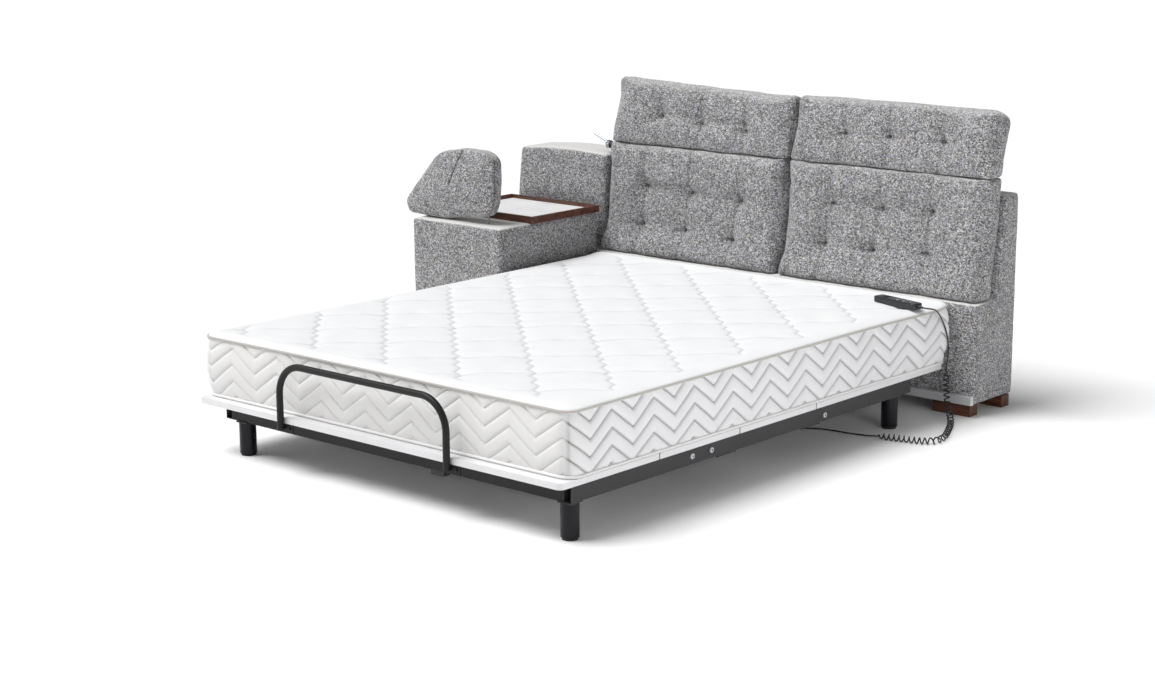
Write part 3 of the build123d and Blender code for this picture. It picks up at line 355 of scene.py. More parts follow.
def tweed_material(name):
    """Salt-and-pepper heather tweed: short dark, grey and pale yarn flecks with a little warm and cool in them, with
    painted shade in its creases and a painted highlight on the faces that look up.
    """
    material, tree, surface = shader(name, roughness=0.95, specular=0.12, sheen=0.25)
    place = object_place(tree)
    flecks = add(tree, "ShaderNodeTexVoronoi", {"Vector": place, "Scale": 270.0})
    split = add(tree, "ShaderNodeSeparateColor", {0: flecks.outputs["Color"]})
    yarn = ramp(tree, split.outputs[0], [(0.0, 0.07), (0.2, 0.15), (0.5, 0.28), (0.8, 0.42), (1.0, 0.66)])
    tint = ramp(tree, split.outputs[1], [(0.0, (1.0, 0.93, 0.84)), (0.35, (1.0, 0.98, 0.96)),
                                         (0.7, (0.97, 0.98, 1.03)), (1.0, (0.86, 0.92, 1.1))])
    colored = mix(tree, 1.0, yarn, tint, "MULTIPLY")
    slubs = speckle(tree, object_place(tree, (90, 90, 320)), 1.0, 2.0)
    patches = speckle(tree, place, 28.0, 3.0)
    streaks = ramp(tree, slubs, [(0.3, 0.72), (0.5, 1.0), (0.72, 1.28)])
    cloudy = ramp(tree, patches, [(0.25, 0.86), (0.75, 1.14)])
    shaded = mix(tree, 1.0, mix(tree, 1.0, colored, streaks, "MULTIPLY"), cloudy, "MULTIPLY")
    # painted shade: the tweed darkens to near black where the crease attribute marks tuft pinches, creases and seams
    crease_shaded = mix(tree, painted_value(tree, "crease"), shaded, (0.03, 0.03, 0.032))
    # painted highlight: faces that look up are mixed towards pale grey, as though lit from above
    brushed = mix(tree, painted_value(tree, "painted_top_highlight"), crease_shaded, (0.86, 0.85, 0.83))
    fine = add(tree, "ShaderNodeTexVoronoi", {"Vector": place, "Scale": 620.0})
    height = math_node(tree, "ADD", math_node(tree, "MULTIPLY", flecks.outputs["Distance"], -1.0),
                       math_node(tree, "MULTIPLY", fine.outputs["Distance"], -0.5))
    cover(tree, surface, brushed, height, 0.55, 0.0014)
    return material


def quilt_material():
    """White knitted mattress top, with painted shade along the zigzag stitching and in the puckers; UVs are the bed's X
    and Y in metres.
    """
    material, tree, surface = shader("mattress_knit", roughness=0.82, specular=0.25, sheen=0.15)
    uv = add(tree, "ShaderNodeTexCoord").outputs["UV"]
    knit = add(tree, "ShaderNodeTexVoronoi", {"Vector": uv, "Scale": 420.0})
    soft = speckle(tree, uv, 9.0, 4.0)
    cloth = ramp(tree, soft, [(0.3, (0.845, 0.85, 0.86)), (0.7, (0.88, 0.885, 0.892))])
    # painted shade: the cloth darkens to blue-grey along the stitch lines and in the pucker folds
    shaded = mix(tree, painted_value(tree, "crease"), cloth, (0.36, 0.37, 0.40))
    cover(tree, surface, shaded, knit.outputs["Distance"], 0.25, 0.0008)
    return material


def border_material():
    """Ribbed white border cloth; UVs are the distance round the mattress and the height, in metres."""
    material, tree, surface = shader("mattress_border", roughness=0.8, specular=0.25, sheen=0.15)
    uv = add(tree, "ShaderNodeTexCoord").outputs["UV"]
    split = add(tree, "ShaderNodeSeparateXYZ", {0: uv})
    slant = math_node(tree, "ADD", math_node(tree, "MULTIPLY", split.outputs[0], 0.735), split.outputs[1])
    ribs = math_node(tree, "PINGPONG", slant, 0.0026)
    height = math_node(tree, "MULTIPLY", ribs, 380.0)
    soft = speckle(tree, uv, 14.0, 3.0)
    half_way = math_node(tree, "MULTIPLY", split.outputs[0], 0.5)
    # painted light: the foot side is toned warmer and darker, the long side brighter and cooler, as the light falls on
    # each
    side_light_tone = ramp(tree, half_way, [(0.76, (0.925, 0.91, 0.878)), (0.79, (0.955, 0.955, 0.97))])
    cloth = mix(tree, 1.0, side_light_tone, ramp(tree, soft, [(0.3, 0.96), (0.7, 1.0)]), "MULTIPLY")
    # a grey rib pattern, lighter towards each rib's crest: a faint painted shade in the rib hollows
    ribbed = mix(tree, math_node(tree, "MULTIPLY", height, 0.12), (0.72, 0.72, 0.73), cloth)
    lined = mix(tree, 0.6, cloth, ribbed)
    # painted shade: the cloth darkens to grey in the chevron grooves and along the corner seam
    shaded = mix(tree, painted_value(tree, "crease"), lined, (0.33, 0.325, 0.33))
    cover(tree, surface, shaded, height, 0.35, 0.0012)
    return material


def tape_material(name, dark, light):
    """Woven edge tape."""
    material, tree, surface = shader(name, roughness=0.75, specular=0.3)
    weave = speckle(tree, object_place(tree), 700.0, 2.0)
    cover(tree, surface, ramp(tree, weave, [(0.3, dark), (0.7, light)]), weave, 0.3, 0.0006)
    return material


def painted(name, color, roughness, grain, depth, specular=0.5, metallic=0.0, spread=0.12, scale=(1, 1, 1)):
    """Paint, plastic, rubber or plain metal: one colour with a fine texture, varying slowly in tone and gloss."""
    material, tree, surface = shader(name, color, roughness, metallic, specular)
    place = object_place(tree, scale)
    fine = speckle(tree, place, grain, 3.0)
    broad = speckle(tree, place, 9.0, 5.0)
    dark = tuple(c * (1 - spread) for c in color)
    light = tuple(min(1, c * (1 + spread)) for c in color)
    gloss = ramp(tree, broad, [(0.3, roughness * 0.88), (0.7, min(1, roughness * 1.12))])
    tree.links.new(gloss, surface.inputs["Roughness"])
    cover(tree, surface, ramp(tree, broad, [(0.3, dark), (0.7, light)]), fine, 0.3, depth)
    return material


def wood_material(name, dark, light, scale):
    """Stained wood with long grain; scale stretches the grain along the piece."""
    material, tree, surface = shader(name, roughness=0.38, specular=0.5)
    place = object_place(tree, scale)
    warp = speckle(tree, place, 2.0, 6.0, 0.6)
    pores = speckle(tree, place, 22.0, 2.0)
    middle = tuple((a + b) / 2 for a, b in zip(dark, light))
    base = ramp(tree, warp, [(0.32, dark), (0.5, middle), (0.56, tuple(a * 0.8 for a in light)), (0.7, light)])
    lines = ramp(tree, pores, [(0.36, 0.62), (0.5, 1.0)])
    cover(tree, surface, mix(tree, 1.0, base, lines, "MULTIPLY"), pores, 0.25, 0.0004)
    return material


TWEED = tweed_material("tweed_grey")
LOOKS = {
    "black_steel": painted("powder_coat", (0.030, 0.029, 0.031), 0.45, 900, 0.0003, specular=0.35),
    "zinc_steel": painted("zinc_plate", (0.48, 0.48, 0.50), 0.3, 400, 0.0002, metallic=1.0),
    "deck_white": painted("deck_laminate", (0.78, 0.78, 0.79), 0.45, 300, 0.0003, spread=0.03),
    "black_plastic": painted("actuator_plastic", (0.022, 0.022, 0.024), 0.5, 1300, 0.0003),
    "gloss_black": painted("handset_plastic", (0.018, 0.019, 0.022), 0.24, 1500, 0.0001),
    "button_grey": painted("button_rubber", (0.30, 0.31, 0.33), 0.6, 1200, 0.0002),
    "glide_rubber": painted("glide_rubber", (0.03, 0.03, 0.03), 0.8, 700, 0.0003),
    "aluminium": painted("brushed_aluminium", (0.78, 0.78, 0.80), 0.42, 260, 0.0003, metallic=0.55, spread=0.05,
                         scale=(0.05, 1, 1)),
    "dark_wood": wood_material("stained_wood", (0.045, 0.012, 0.006), (0.16, 0.052, 0.026), (4, 30, 30)),
    "tray_white": painted("tray_laminate", (0.93, 0.93, 0.94), 0.3, 260, 0.0002, spread=0.02),
    "lamp_silver": painted("satin_nickel", (0.34, 0.36, 0.40), 0.22, 500, 0.0001, metallic=1.0, spread=0.04),
    "cord_black": painted("cord_sheath", (0.015, 0.015, 0.016), 0.4, 900, 0.0002),
    "tweed": TWEED,
}
WHITE_TOP, WHITE_SIDE = quilt_material(), border_material()
# the top edge tape: a beige tape made darker, partly a painted shade line under the top's rounded edge
TAPE = tape_material("mattress_tape", (0.44, 0.425, 0.40), (0.56, 0.54, 0.515))
WHITE_TAPE = tape_material("mattress_lower_tape", (0.78, 0.775, 0.77), (0.89, 0.885, 0.88))
SLOT_OF = {entry["node"]: entry["material_slot"] for entry in frame["record"]["subparts"]}


def dress(obj, *materials):
    if obj.data.materials:      # clearing an empty list would still reset which face takes which material
        obj.data.materials.clear()
    for material in materials:
        obj.data.materials.append(material)


def upholster(obj, points, facing, strength):
    """Keeps the moved points and covers them in tweed, with a painted highlight that lightens the faces that look up.
    """
    set_coordinates(obj.data, to_frame(points))
    # painted highlight: the more a face looks up, the paler its tweed
    paint(obj, "painted_top_highlight", strength * unit((facing[:, 2] - 0.6) / 0.35))
    dress(obj, TWEED)


for node_name, slot_name in SLOT_OF.items():
    if slot_name in LOOKS:
        dress(NODES[node_name], LOOKS[slot_name])
dress(cord, LOOKS["cord_black"])
dress(NODES["legs"], painted("leg_enamel", (0.006, 0.0065, 0.009), 0.28, 700, 0.0002, specular=0.25))
dress(NODES["rail_bolts"], painted("bolt_zinc", (0.56, 0.56, 0.58), 0.5, 400, 0.0002, metallic=0.7))
dress(NODES["cushion_stays"], painted("stay_steel", (0.20, 0.20, 0.21), 0.35, 500, 0.0002, metallic=0.8))
for dark_node in ("foot_rail", "retainer_bar", "retainer_brackets"):
    dress(NODES[dark_node], painted(dark_node + "_coat", (0.014, 0.0138, 0.014), 0.5, 900, 0.0003, specular=0.28))


# ---------------------------------------------------------------- mattress
HALF_WIDTH, FOOT_EDGE, HEAD_EDGE, CORNER = 796.0, 44.0, 2008.0, 45.0
SEAM_BOTTOM, SEAM_TOP, TOP = 190.0, 383.0, 400.0
PERIOD_LONG, PERIOD_END, PERIOD_CORNER = 190.5, 202.0, 195.0
CHEVRON_RISE = 35.0
CHEVRON_PITCH = 53.0
CHEVRON_BASE = 324.0
PHASE_START = -0.015      # at the left end of the foot side
TOTAL_PHASE = 36


def triangle(phase):
    """-1 at whole numbers, +1 halfway between them."""
    part = phase - np.floor(phase)
    return 1 - 4 * np.abs(part - 0.5)


STRAIGHT_END, STRAIGHT_LONG, ARC = 2 * (HALF_WIDTH - CORNER), HEAD_EDGE - FOOT_EDGE - 2 * CORNER, math.pi / 2 * CORNER


def border_line(distance):
    """Place and outward direction on the mattress's outline, at distances round it from the foot side's left end."""
    sides = [((-HALF_WIDTH + CORNER, FOOT_EDGE), (1, 0), STRAIGHT_END),
             ((HALF_WIDTH, FOOT_EDGE + CORNER), (0, 1), STRAIGHT_LONG),
             ((HALF_WIDTH - CORNER, HEAD_EDGE), (-1, 0), STRAIGHT_END),
             ((-HALF_WIDTH, HEAD_EDGE - CORNER), (0, -1), STRAIGHT_LONG)]
    places, normals = np.zeros((len(distance), 2)), np.zeros((len(distance), 2))
    start = 0.0
    for (x, y), (dx, dy), length in sides:
        on = (distance >= start) & (distance <= start + length)
        t = distance[on] - start
        places[on] = np.c_[x + dx * t, y + dy * t]
        normals[on] = (dy, -dx)
        start += length
        bend = (distance > start) & (distance < start + ARC)
        angle = (distance[bend] - start) / CORNER
        center = np.array((x + dx * length - dy * CORNER, y + dy * length + dx * CORNER))
        out = np.c_[dy * np.cos(angle) + dx * np.sin(angle), -dx * np.cos(angle) + dy * np.sin(angle)]
        places[bend] = center + CORNER * out
        normals[bend] = out
        start += ARC
    return places, normals


STRETCHES = np.array([STRAIGHT_END, ARC, STRAIGHT_LONG, ARC] * 2)
phases = STRETCHES / ([PERIOD_END, PERIOD_CORNER, PERIOD_LONG, PERIOD_CORNER] * 2)
phases[4] += TOTAL_PHASE - phases.sum()      # the hidden head side takes up what is left over
KNOTS_S = np.cumsum([0, *STRETCHES])
KNOTS_PHASE = PHASE_START + np.cumsum([0, *phases])


def mattress_border():
    """The quilted side: a grid whose rows follow the chevrons, so that every groove is crisp."""
    phase = np.ceil(PHASE_START * 32) / 32 + np.arange(TOTAL_PHASE * 32) / 32
    distance = np.interp(phase, KNOTS_PHASE, KNOTS_S)
    place, normal = border_line(distance)
    groove_rows = np.array([-9, -5.5, -3, -1.2, 0, 1.2, 3, 5.5, 9, 16, 26.5, 37])
    rows = np.concatenate([groove_rows + CHEVRON_PITCH * k for k in range(-4, 3)])
    columns = len(phase)
    rise = CHEVRON_BASE + CHEVRON_RISE * triangle(phase)
    z = rows[:, None] + rise[None, :]
    on_foot_side = unit((STRAIGHT_END + 0.5 * ARC - distance) / 12) * (distance < STRAIGHT_END + ARC)
    depth_share = (1 - 0.5 * on_foot_side)[None, :]
    inside = unit(np.minimum(z - SEAM_BOTTOM, SEAM_TOP - z) / 9)
    gap = np.abs(rows[:, None] - np.round(rows[:, None] / CHEVRON_PITCH) * CHEVRON_PITCH)
    groove = bell(gap, 4.3) * inside
    stitch_shade = bell(gap, 3.0) * inside
    crown = 3.4 * np.sin(np.pi * unit(gap / (CHEVRON_PITCH / 2)) / 2)
    z = np.clip(z, SEAM_BOTTOM, SEAM_TOP)
    share = (z - SEAM_BOTTOM) / (SEAM_TOP - SEAM_BOTTOM)
    bulge = 5.5 * np.sin(np.pi * share) ** 0.8 - 1.0
    slack = np.array([noise.noise(Vector((d / 160, 3.1, 0))) for d in distance])[None, :] * 1.2 * np.sin(np.pi * share)
    seam = bell(distance - STRAIGHT_END - 0.45 * ARC, 4)[None, :] * np.sin(np.pi * share) ** 0.4
    offset = bulge + slack + (crown * inside - 8.0 * groove) * depth_share - 3.5 * seam
    xy = place[None, :, :] + normal[None, :, :] * offset[:, :, None]
    points = np.concatenate([xy, z[:, :, None]], axis=2).reshape(-1, 3)
    uv = np.stack([np.broadcast_to(distance / 1000, z.shape), z / 1000], axis=2).reshape(-1, 2)
    # painted shade in each groove and in the corner seam, weaker on the foot side, where the light falls more softly
    shade = unit(stitch_shade * (0.8 - 0.66 * on_foot_side[None, :]) + 0.5 * seam).reshape(-1)
    index = np.arange(len(rows) * columns).reshape(len(rows), columns)
    faces = []
    for r in range(len(rows) - 1):
        for c in range(columns):
            n = (c + 1) % columns
            ring = [index[r, c], index[r, n], index[r + 1, n], index[r + 1, c]]
            heights = z[[r, r, r + 1, r + 1], [c, n, n, c]]
            if heights.max() - heights.min() < 1e-6:
                continue
            if abs(heights[0] - heights[3]) < 1e-6:
                ring.pop(3)
            elif abs(heights[1] - heights[2]) < 1e-6:
                ring.pop(2)
            faces.append(ring)
    return points, faces, uv, shade


def edge_distance(x, y):
    """How far a point of the top lies inside the rounded outline."""
    to_side = HALF_WIDTH - np.abs(x)
    to_end = np.minimum(y - FOOT_EDGE, HEAD_EDGE - y)
    corner = (to_side < CORNER) & (to_end < CORNER)
    round_gap = CORNER - np.hypot(CORNER - to_side, CORNER - to_end)
    return np.where(corner, round_gap, np.minimum(to_side, to_end))


ZIGZAG_NORMAL, ZIGZAG_START, ZIGZAG_PITCH = (0.6947, 0.7193), -161.9, 223.1
PUCKER_NORMAL, PUCKER_START, PUCKER_PITCH = (-0.6884, 0.7254), 1733.6, 225.3
ZIGZAG_SWING, ZIGZAG_PERIOD = 9.0, 85.0


def top_height(x, y):
    """Height of the quilted top, and the painted shade along its stitch lines and pucker folds."""
    inset = edge_distance(x, y)
    border = unit(inset / 72)
    height = SEAM_TOP + (TOP - SEAM_TOP) * np.sqrt(1 - (1 - border) ** 2)
    quilted = unit((inset - 34) / 34)
    quilted = quilted * quilted * (3 - 2 * quilted)
    across = (ZIGZAG_NORMAL[0] * x + ZIGZAG_NORMAL[1] * y - ZIGZAG_START) / ZIGZAG_PITCH
    along = ZIGZAG_NORMAL[1] * x - ZIGZAG_NORMAL[0] * y
    stitch = np.abs((across - np.round(across)) * ZIGZAG_PITCH + ZIGZAG_SWING * triangle(along / ZIGZAG_PERIOD))
    cell = (1 - np.cos(2 * np.pi * across)) / 2
    pucker = (PUCKER_NORMAL[0] * x + PUCKER_NORMAL[1] * y - PUCKER_START) / PUCKER_PITCH
    wander = 6 * cell + 4 * np.sin(along / 61 + 1.7 * np.round(pucker)) * cell
    fold = (pucker - np.round(pucker)) * PUCKER_PITCH - wander
    tug = 0.55 + 0.45 * np.sin(across * 5.1 + np.round(pucker) * 2.3) ** 2
    narrow = bell(stitch, 6.5)
    soft = np.exp(-(fold / np.where(fold > 0, 7, 15)) ** 2)
    height -= quilted * (3.6 * narrow + 3.4 * bell(stitch, 34))
    height -= quilted * tug * (3.4 * soft + 3.2 * bell(fold, 46))
    height -= 1.4 * bell(inset - 50, 9) * (0.6 + 0.4 * np.sin(along / 37))
    height += 0.7 * np.sin(x / 97 + np.sin(y / 131)) * np.sin(y / 113 + 1.0) * border
    # painted shade along each stitch line in short dashes, and in the pucker folds below
    stitch_shade = bell(stitch, 4.5) * (0.75 + 0.25 * np.sin(along / 3.1))
    crease = quilted * unit(0.62 * stitch_shade + 0.30 * bell(fold, 4.5) * tug)
    return height, crease


def grid_faces(index):
    return [(index[r, c], index[r, c + 1], index[r + 1, c + 1], index[r + 1, c])
            for r in range(index.shape[0] - 1) for c in range(index.shape[1] - 1)]


def mattress_top():
    """Rings round the rounded edge, then a square grid, all one sheet."""
    inner_x = np.linspace(-HALF_WIDTH + CORNER, HALF_WIDTH - CORNER, 301)
    inner_y = np.linspace(FOOT_EDGE + CORNER, HEAD_EDGE - CORNER, 375)
    grid_x, grid_y = np.meshgrid(inner_x, inner_y)
    xy = [np.c_[grid_x.ravel(), grid_y.ravel()]]
    index = np.arange(grid_x.size).reshape(grid_x.shape)
    faces = grid_faces(index)
    sides = [(index[0, :-1], (0, -1)), (index[:-1, -1], (1, 0)), (index[-1, :0:-1], (0, 1)), (index[:0:-1, 0], (-1, 0))]
    ring, normals = [], []
    for number, (line, outward) in enumerate(sides):
        before = np.array(sides[number - 1][1], float)
        for turn in np.arange(13) * math.pi / 24:      # each corner point fans out
            ring.append(line[0])
            normals.append(before * math.cos(turn) + np.array(outward, float) * math.sin(turn))
        ring += list(line[1:])
        normals += [np.array(outward, float)] * (len(line) - 1)
    ring, normals = np.array(ring), np.array(normals)
    base = xy[0][ring]
    previous = ring
    total = grid_x.size
    for reach in (5, 10, 15, 20, 25, 30, 34, 38, 41, 43.4, CORNER):
        xy.append(base + normals * reach)
        current = np.arange(total, total + len(ring))
        total += len(ring)
        for i in range(len(ring)):
            j = (i + 1) % len(ring)
            faces.append(tuple(dict.fromkeys([current[i], current[j], previous[j], previous[i]])))
        previous = current
    xy = np.concatenate(xy)
    height, crease = top_height(xy[:, 0], xy[:, 1])
    return np.c_[xy, height], faces, xy / 1000, crease


def border_ring(inset, z, count=1400):
    """A loop round the mattress at one height, inside the outline by inset."""
    distance = np.arange(count) * KNOTS_S[-1] / count
    place, normal = border_line(distance)
    return np.c_[place - normal * inset, np.full(count, z)]


def join_parts(parts):
    """One set of arrays from several parts, each (points, faces, uv, crease, slot)."""
    faces, slots, shift = [], [], 0
    for part_points, part_faces, _, _, slot in parts:
        faces += [tuple(int(i) + shift for i in face) for face in part_faces]
        slots += [slot] * len(part_faces)
        shift += len(part_points)
    points, uv, crease = (np.concatenate([part[column] for part in parts]) for column in (0, 2, 3))
    return points, faces, uv, crease, slots


def piping(inset, z, radius, slot):
    points, faces = tube(border_ring(inset, z), radius, 8, closed=True)
    return points, faces, points[:, :2] / 1000, np.zeros(len(points)), slot


def underside():
    """The mattress's flat bottom, drawn up over each hinge so that the folding deck has room."""
    xs, ys = np.linspace(-780, 780, 40), np.linspace(62, 1990, 90)
    grid_x, grid_y = np.meshgrid(xs, ys)
    lift = 14 * bell(grid_y - 1238, 95) + 8 * bell(grid_y - 831, 75)
    points = np.c_[grid_x.ravel(), grid_y.ravel(), (184.6 + lift).ravel()]
    index = np.arange(grid_x.size).reshape(grid_x.shape)
    faces = [face[::-1] for face in grid_faces(index)]
    return points, faces, points[:, :2] / 1000, np.zeros(len(points)), 1


# Corners where the filling bulges, and how far it goes in X and Y: the foot's left one and the head's right one.
SWELLS = [((-HALF_WIDTH, FOOT_EDGE), -17, -10), ((HALF_WIDTH, HEAD_EDGE), 22, 6)]
REAR_LIFT = 9             # the top edge stands up where it meets the headboard

top_part = (*mattress_top(), 0)
side_part = (*mattress_border(), 1)
shell = join_parts([top_part, side_part, piping(-2.2, SEAM_TOP - 1.2, 4.0, 2), piping(-1.5, SEAM_BOTTOM - 0.6, 5.0, 3),
                    underside()])
for (corner_x, corner_y), push_x, push_y in SWELLS:
    x, y, z = shell[0].T
    swell = bell(np.hypot(x - corner_x, y - corner_y), 300) * (0.35 + 0.75 * np.sin(np.pi * unit((z - 184) / 250)))
    x += push_x * swell
    y += push_y * swell
z += REAR_LIFT * bell(HEAD_EDGE - y, 60) * unit((z - 300) / 83)


def split_mattress(name, y_from, y_to, replaced):
    """The length of the mattress between two cuts."""
    points, faces, uv, crease, slots = shell
    middle = np.array([points[list(face), 1].mean() for face in faces])
    keep = np.nonzero((middle > y_from - 15) & (middle < y_to + 15))[0]
    kept_faces = [faces[i] for i in keep]
    used = np.unique(np.concatenate([np.array(f) for f in kept_faces]))
    remap = np.full(len(points), -1)
    remap[used] = np.arange(len(used))
    obj = mesh_object(name, to_frame(points[used]), [tuple(int(remap[i]) for i in face) for face in kept_faces],
                      uv=uv[used], slots=[slots[i] for i in keep])
    # the crease attribute carries the painted shade of the stitching, puckers and grooves
    paint(obj, "crease", crease[used])
    cutter = bmesh.new()
    cutter.from_mesh(obj.data)
    for y, direction in ((y_from, -1), (y_to, 1)):
        bmesh.ops.bisect_plane(cutter, geom=cutter.verts[:] + cutter.edges[:] + cutter.faces[:], dist=1e-6,
                               plane_co=at(0, y, 0), plane_no=(0, direction, 0), clear_outer=True)
    bmesh.ops.delete(cutter, geom=[v for v in cutter.verts if not v.link_faces], context="VERTS")
    cutter.to_mesh(obj.data)
    cutter.free()
    obj.data.shade_smooth()
    dress(obj, WHITE_TOP, WHITE_SIDE, TAPE, WHITE_TAPE)
    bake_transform(obj)
    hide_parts(*replaced)


SEAT_CUT, KNEE_CUT = 1010, 635      # where the mattress is cut between its three bending lengths
split_mattress("mattress_head_part", SEAT_CUT, 2100,
               ("mattress_back", "mattress_fold_back", "mattress_seat"))
split_mattress("mattress_middle_part", KNEE_CUT, SEAT_CUT,
               ("mattress_fold_thigh", "mattress_thigh"))
split_mattress("mattress_foot_part", 0, KNEE_CUT, ("mattress_calf",))


# ---------------------------------------------------------------- upholstery
def prism(name, profile, start, stop, along, radius):
    """A closed prism with rounded edges; profile is (Y, Z) when it runs along X, or (X, Z) when along Y."""
    form = bmesh.new()
    rings = [[form.verts.new(at(reach, a, b) if along == "X" else at(a, reach, b)) for a, b in profile]
             for reach in (start, stop)]
    form.faces.new(rings[0][::-1])
    form.faces.new(rings[1])
    for i in range(len(profile)):
        j = (i + 1) % len(profile)
        form.faces.new((rings[0][i], rings[0][j], rings[1][j], rings[1][i]))
    bmesh.ops.recalc_face_normals(form, faces=form.faces[:])
    bmesh.ops.bevel(form, geom=form.edges[:], offset=radius / 1000, segments=4, profile=0.5, affect="EDGES",
                    clamp_overlap=True)
    return object_from(form, name, smooth=False)


def refine(obj, voxel):
    """Even quads of about voxel millimetres, smoothed so that slanted faces come out flat."""
    remesh = obj.modifiers.new("even", "REMESH")
    remesh.mode = "VOXEL"
    remesh.voxel_size = voxel / 1000
    smooth = obj.modifiers.new("smooth", "SMOOTH")
    smooth.factor = 0.5
    smooth.iterations = 3
    bake_modifiers(obj)
    return obj


def bed_points(obj):
    return coordinates(obj.data) * 1000 - (MID_X, FOOT_Y, 0)


def normals_of(obj):
    values = np.zeros(len(obj.data.vertices) * 3, np.float32)
    obj.data.vertex_normals.foreach_get("vector", values)
    return values.reshape(-1, 3)


LAST_FRAME = 20       # where the cloth simulation stops


def hold_and_fill(obj, held, pressure):
    """Sets a cushion up for the cloth simulation, with its held points fixed."""
    group = obj.vertex_groups.new(name="held")
    group.add(np.nonzero(held)[0].tolist(), 1.0, "REPLACE")
    cloth = obj.modifiers.new("fill", "CLOTH")
    settings = cloth.settings
    settings.use_pressure = True
    settings.uniform_pressure_force = pressure
    settings.vertex_group_mass = "held"
    settings.effector_weights.gravity = 0
    settings.quality = 6
    cloth.point_cache.frame_start = 1
    cloth.point_cache.frame_end = LAST_FRAME


def settle(cushions, cap):
    """Runs the simulation once for all the cushions, limits how far a point moves, and keeps the result."""
    for step in range(1, LAST_FRAME + 1):
        bpy.context.scene.frame_set(step)
    graph = bpy.context.evaluated_depsgraph_get()
    for obj in cushions:
        before = coordinates(obj.data)
        after = coordinates(bpy.data.meshes.new_from_object(obj.evaluated_get(graph)))
        obj.modifiers.clear()
        obj.vertex_groups.clear()
        shift = np.nan_to_num(after - before)
        reach = np.linalg.norm(shift, axis=1)[:, None]
        set_coordinates(obj.data, before + shift * np.minimum(1, cap / 1000 / np.maximum(reach, 1e-9)))
    bpy.context.scene.frame_set(1)


def refit(points, axis, low, high):
    """Stretches the points along one axis so that they span low to high again."""
    least, most = points[:, axis].min(), points[:, axis].max()
    points[:, axis] = low + (points[:, axis] - least) * (high - low) / (most - least)


def subdivided(obj):
    """Makes a piece finer; gives its points in the bed's coordinates, its normals and views of X, Y and Z."""
    modifier = obj.modifiers.new("finer", "SUBSURF")
    modifier.levels = modifier.render_levels = 1
    bake_modifiers(obj)
    obj.data.shade_smooth()
    points = bed_points(obj)
    return points, normals_of(obj), *points.T


def wrinkle(points, size, seed):
    return np.array([noise.noise(Vector(p) / size + Vector((seed, 0, 0))) for p in points])


def tuft_dents(points, tufts, columns):
    """How far each front point is drawn in: a pinch at each tuft, the soft hollow round it, and the creases; and how
    much painted shade darkens each of them.
    """
    x, z = points[:, 0], points[:, 2]
    depth, shade = np.zeros(len(points)), np.zeros(len(points))
    for number, (tx, tz) in enumerate(tufts):
        gap = np.hypot(x - tx, z - tz)
        depth += 11.0 * bell(gap, 38) + 11.0 * bell(gap, 9)
        shade = np.maximum(shade, 0.6 * bell(gap, 8))
        slope = 0.06 * math.sin(number * 2.1)
        level = z - tz - slope * (x - tx)
        crease = bell(level, 5) * np.exp(-((x - tx - 14 * math.cos(number)) / 36) ** 4)
        depth += 4.5 * crease
        shade = np.maximum(shade, 0.34 * crease)
    for column in range(columns):
        stack = sorted(tufts[column::columns], key=lambda tuft: tuft[1])
        line = np.interp(z, [t[1] for t in stack], [t[0] for t in stack]) + 3 * np.sin(z / 70 + column)
        tuck = bell(x - line, 7)
        depth += 3.0 * tuck + 3.6 * bell(x - line, 36)
        shade = np.maximum(shade, 0.22 * tuck)
    return depth, shade


LEFT_TUFTS = [(-629, 662), (-406, 656), (-170, 648), (-640, 515), (-429, 510), (-197, 497)]
RIGHT_TUFTS = [(248, 680), (460, 681), (669, 691), (221, 531), (431, 529), (658, 540)]
LEFT_REST_TUFTS = [(-590, 927), (-393, 917), (-182, 908)]
RIGHT_REST_TUFTS = [(265, 930), (454, 932), (682, 932)]
PILLOW = [(2066, 401), (2148, 401), (2195, 762), (2199, 820), (2101, 820)]
HEADREST = [(2102, 823), (2194, 823), (2255, 1018), (2166, 1043)]
LEFT_SPAN, RIGHT_SPAN = (-830, 34), (36, 900)
LEDGE, PILLOW_TOP, REST_BOTTOM = 400, 821.5, 822.5
# CAD node, profile, limits in X and Z, tufts, body and name of each cushion
CUSHIONS = [
    ("back_cushion_left", PILLOW, LEFT_SPAN, (LEDGE, PILLOW_TOP), LEFT_TUFTS, "base", "back_pillow_left"),
    ("back_cushion_right", PILLOW, RIGHT_SPAN, (LEDGE, PILLOW_TOP), RIGHT_TUFTS, "base", "back_pillow_right"),
    ("headrest_left", HEADREST, LEFT_SPAN, (REST_BOTTOM, 1056), LEFT_REST_TUFTS, "headrest_l", "headrest_pillow_left"),
    ("headrest_right", HEADREST, RIGHT_SPAN, (REST_BOTTOM, 1054), RIGHT_REST_TUFTS, "headrest_r",
     "headrest_pillow_right")]
WEDGE = [(-1350, 555), (-1150, 553), (-932, 580), (-907, 636), (-902, 794), (-950, 826), (-1065, 828),
         (-1169, 811), (-1211, 785), (-1370, 606)]
WEDGE_SPAN, WEDGE_HEIGHTS, WEDGE_SEAM_Y = (-1372, -900), (551, 829), 1531

pillows = []
for node, profile, span, z_limits, tufts, body, name in CUSHIONS:
    pillow = refine(prism(name, profile, *span, "X", 20), 9)
    x, y, z = bed_points(pillow).T
    rear = y > np.interp(z, (398, 762, 830, 1040), (2150, 2197, 2197, 2262)) - 14
    held = rear | (z < profile[0][1] + 3)
    for tx, tz in tufts:
        held |= (y < y.max() - 60) & (np.hypot(x - tx, z - tz) < 12)
    hold_and_fill(pillow, held, 4.0)
    pillows.append((pillow, node, tufts, body, span, z_limits))
wedge = refine(prism("side_wedge", WEDGE, 1507, 1581, "Y", 22), 8)
hold_and_fill(wedge, np.abs(normals_of(wedge)[:, 1]) < 0.6, 4.0)
settle([pillow for pillow, *rest in pillows] + [wedge], 13)

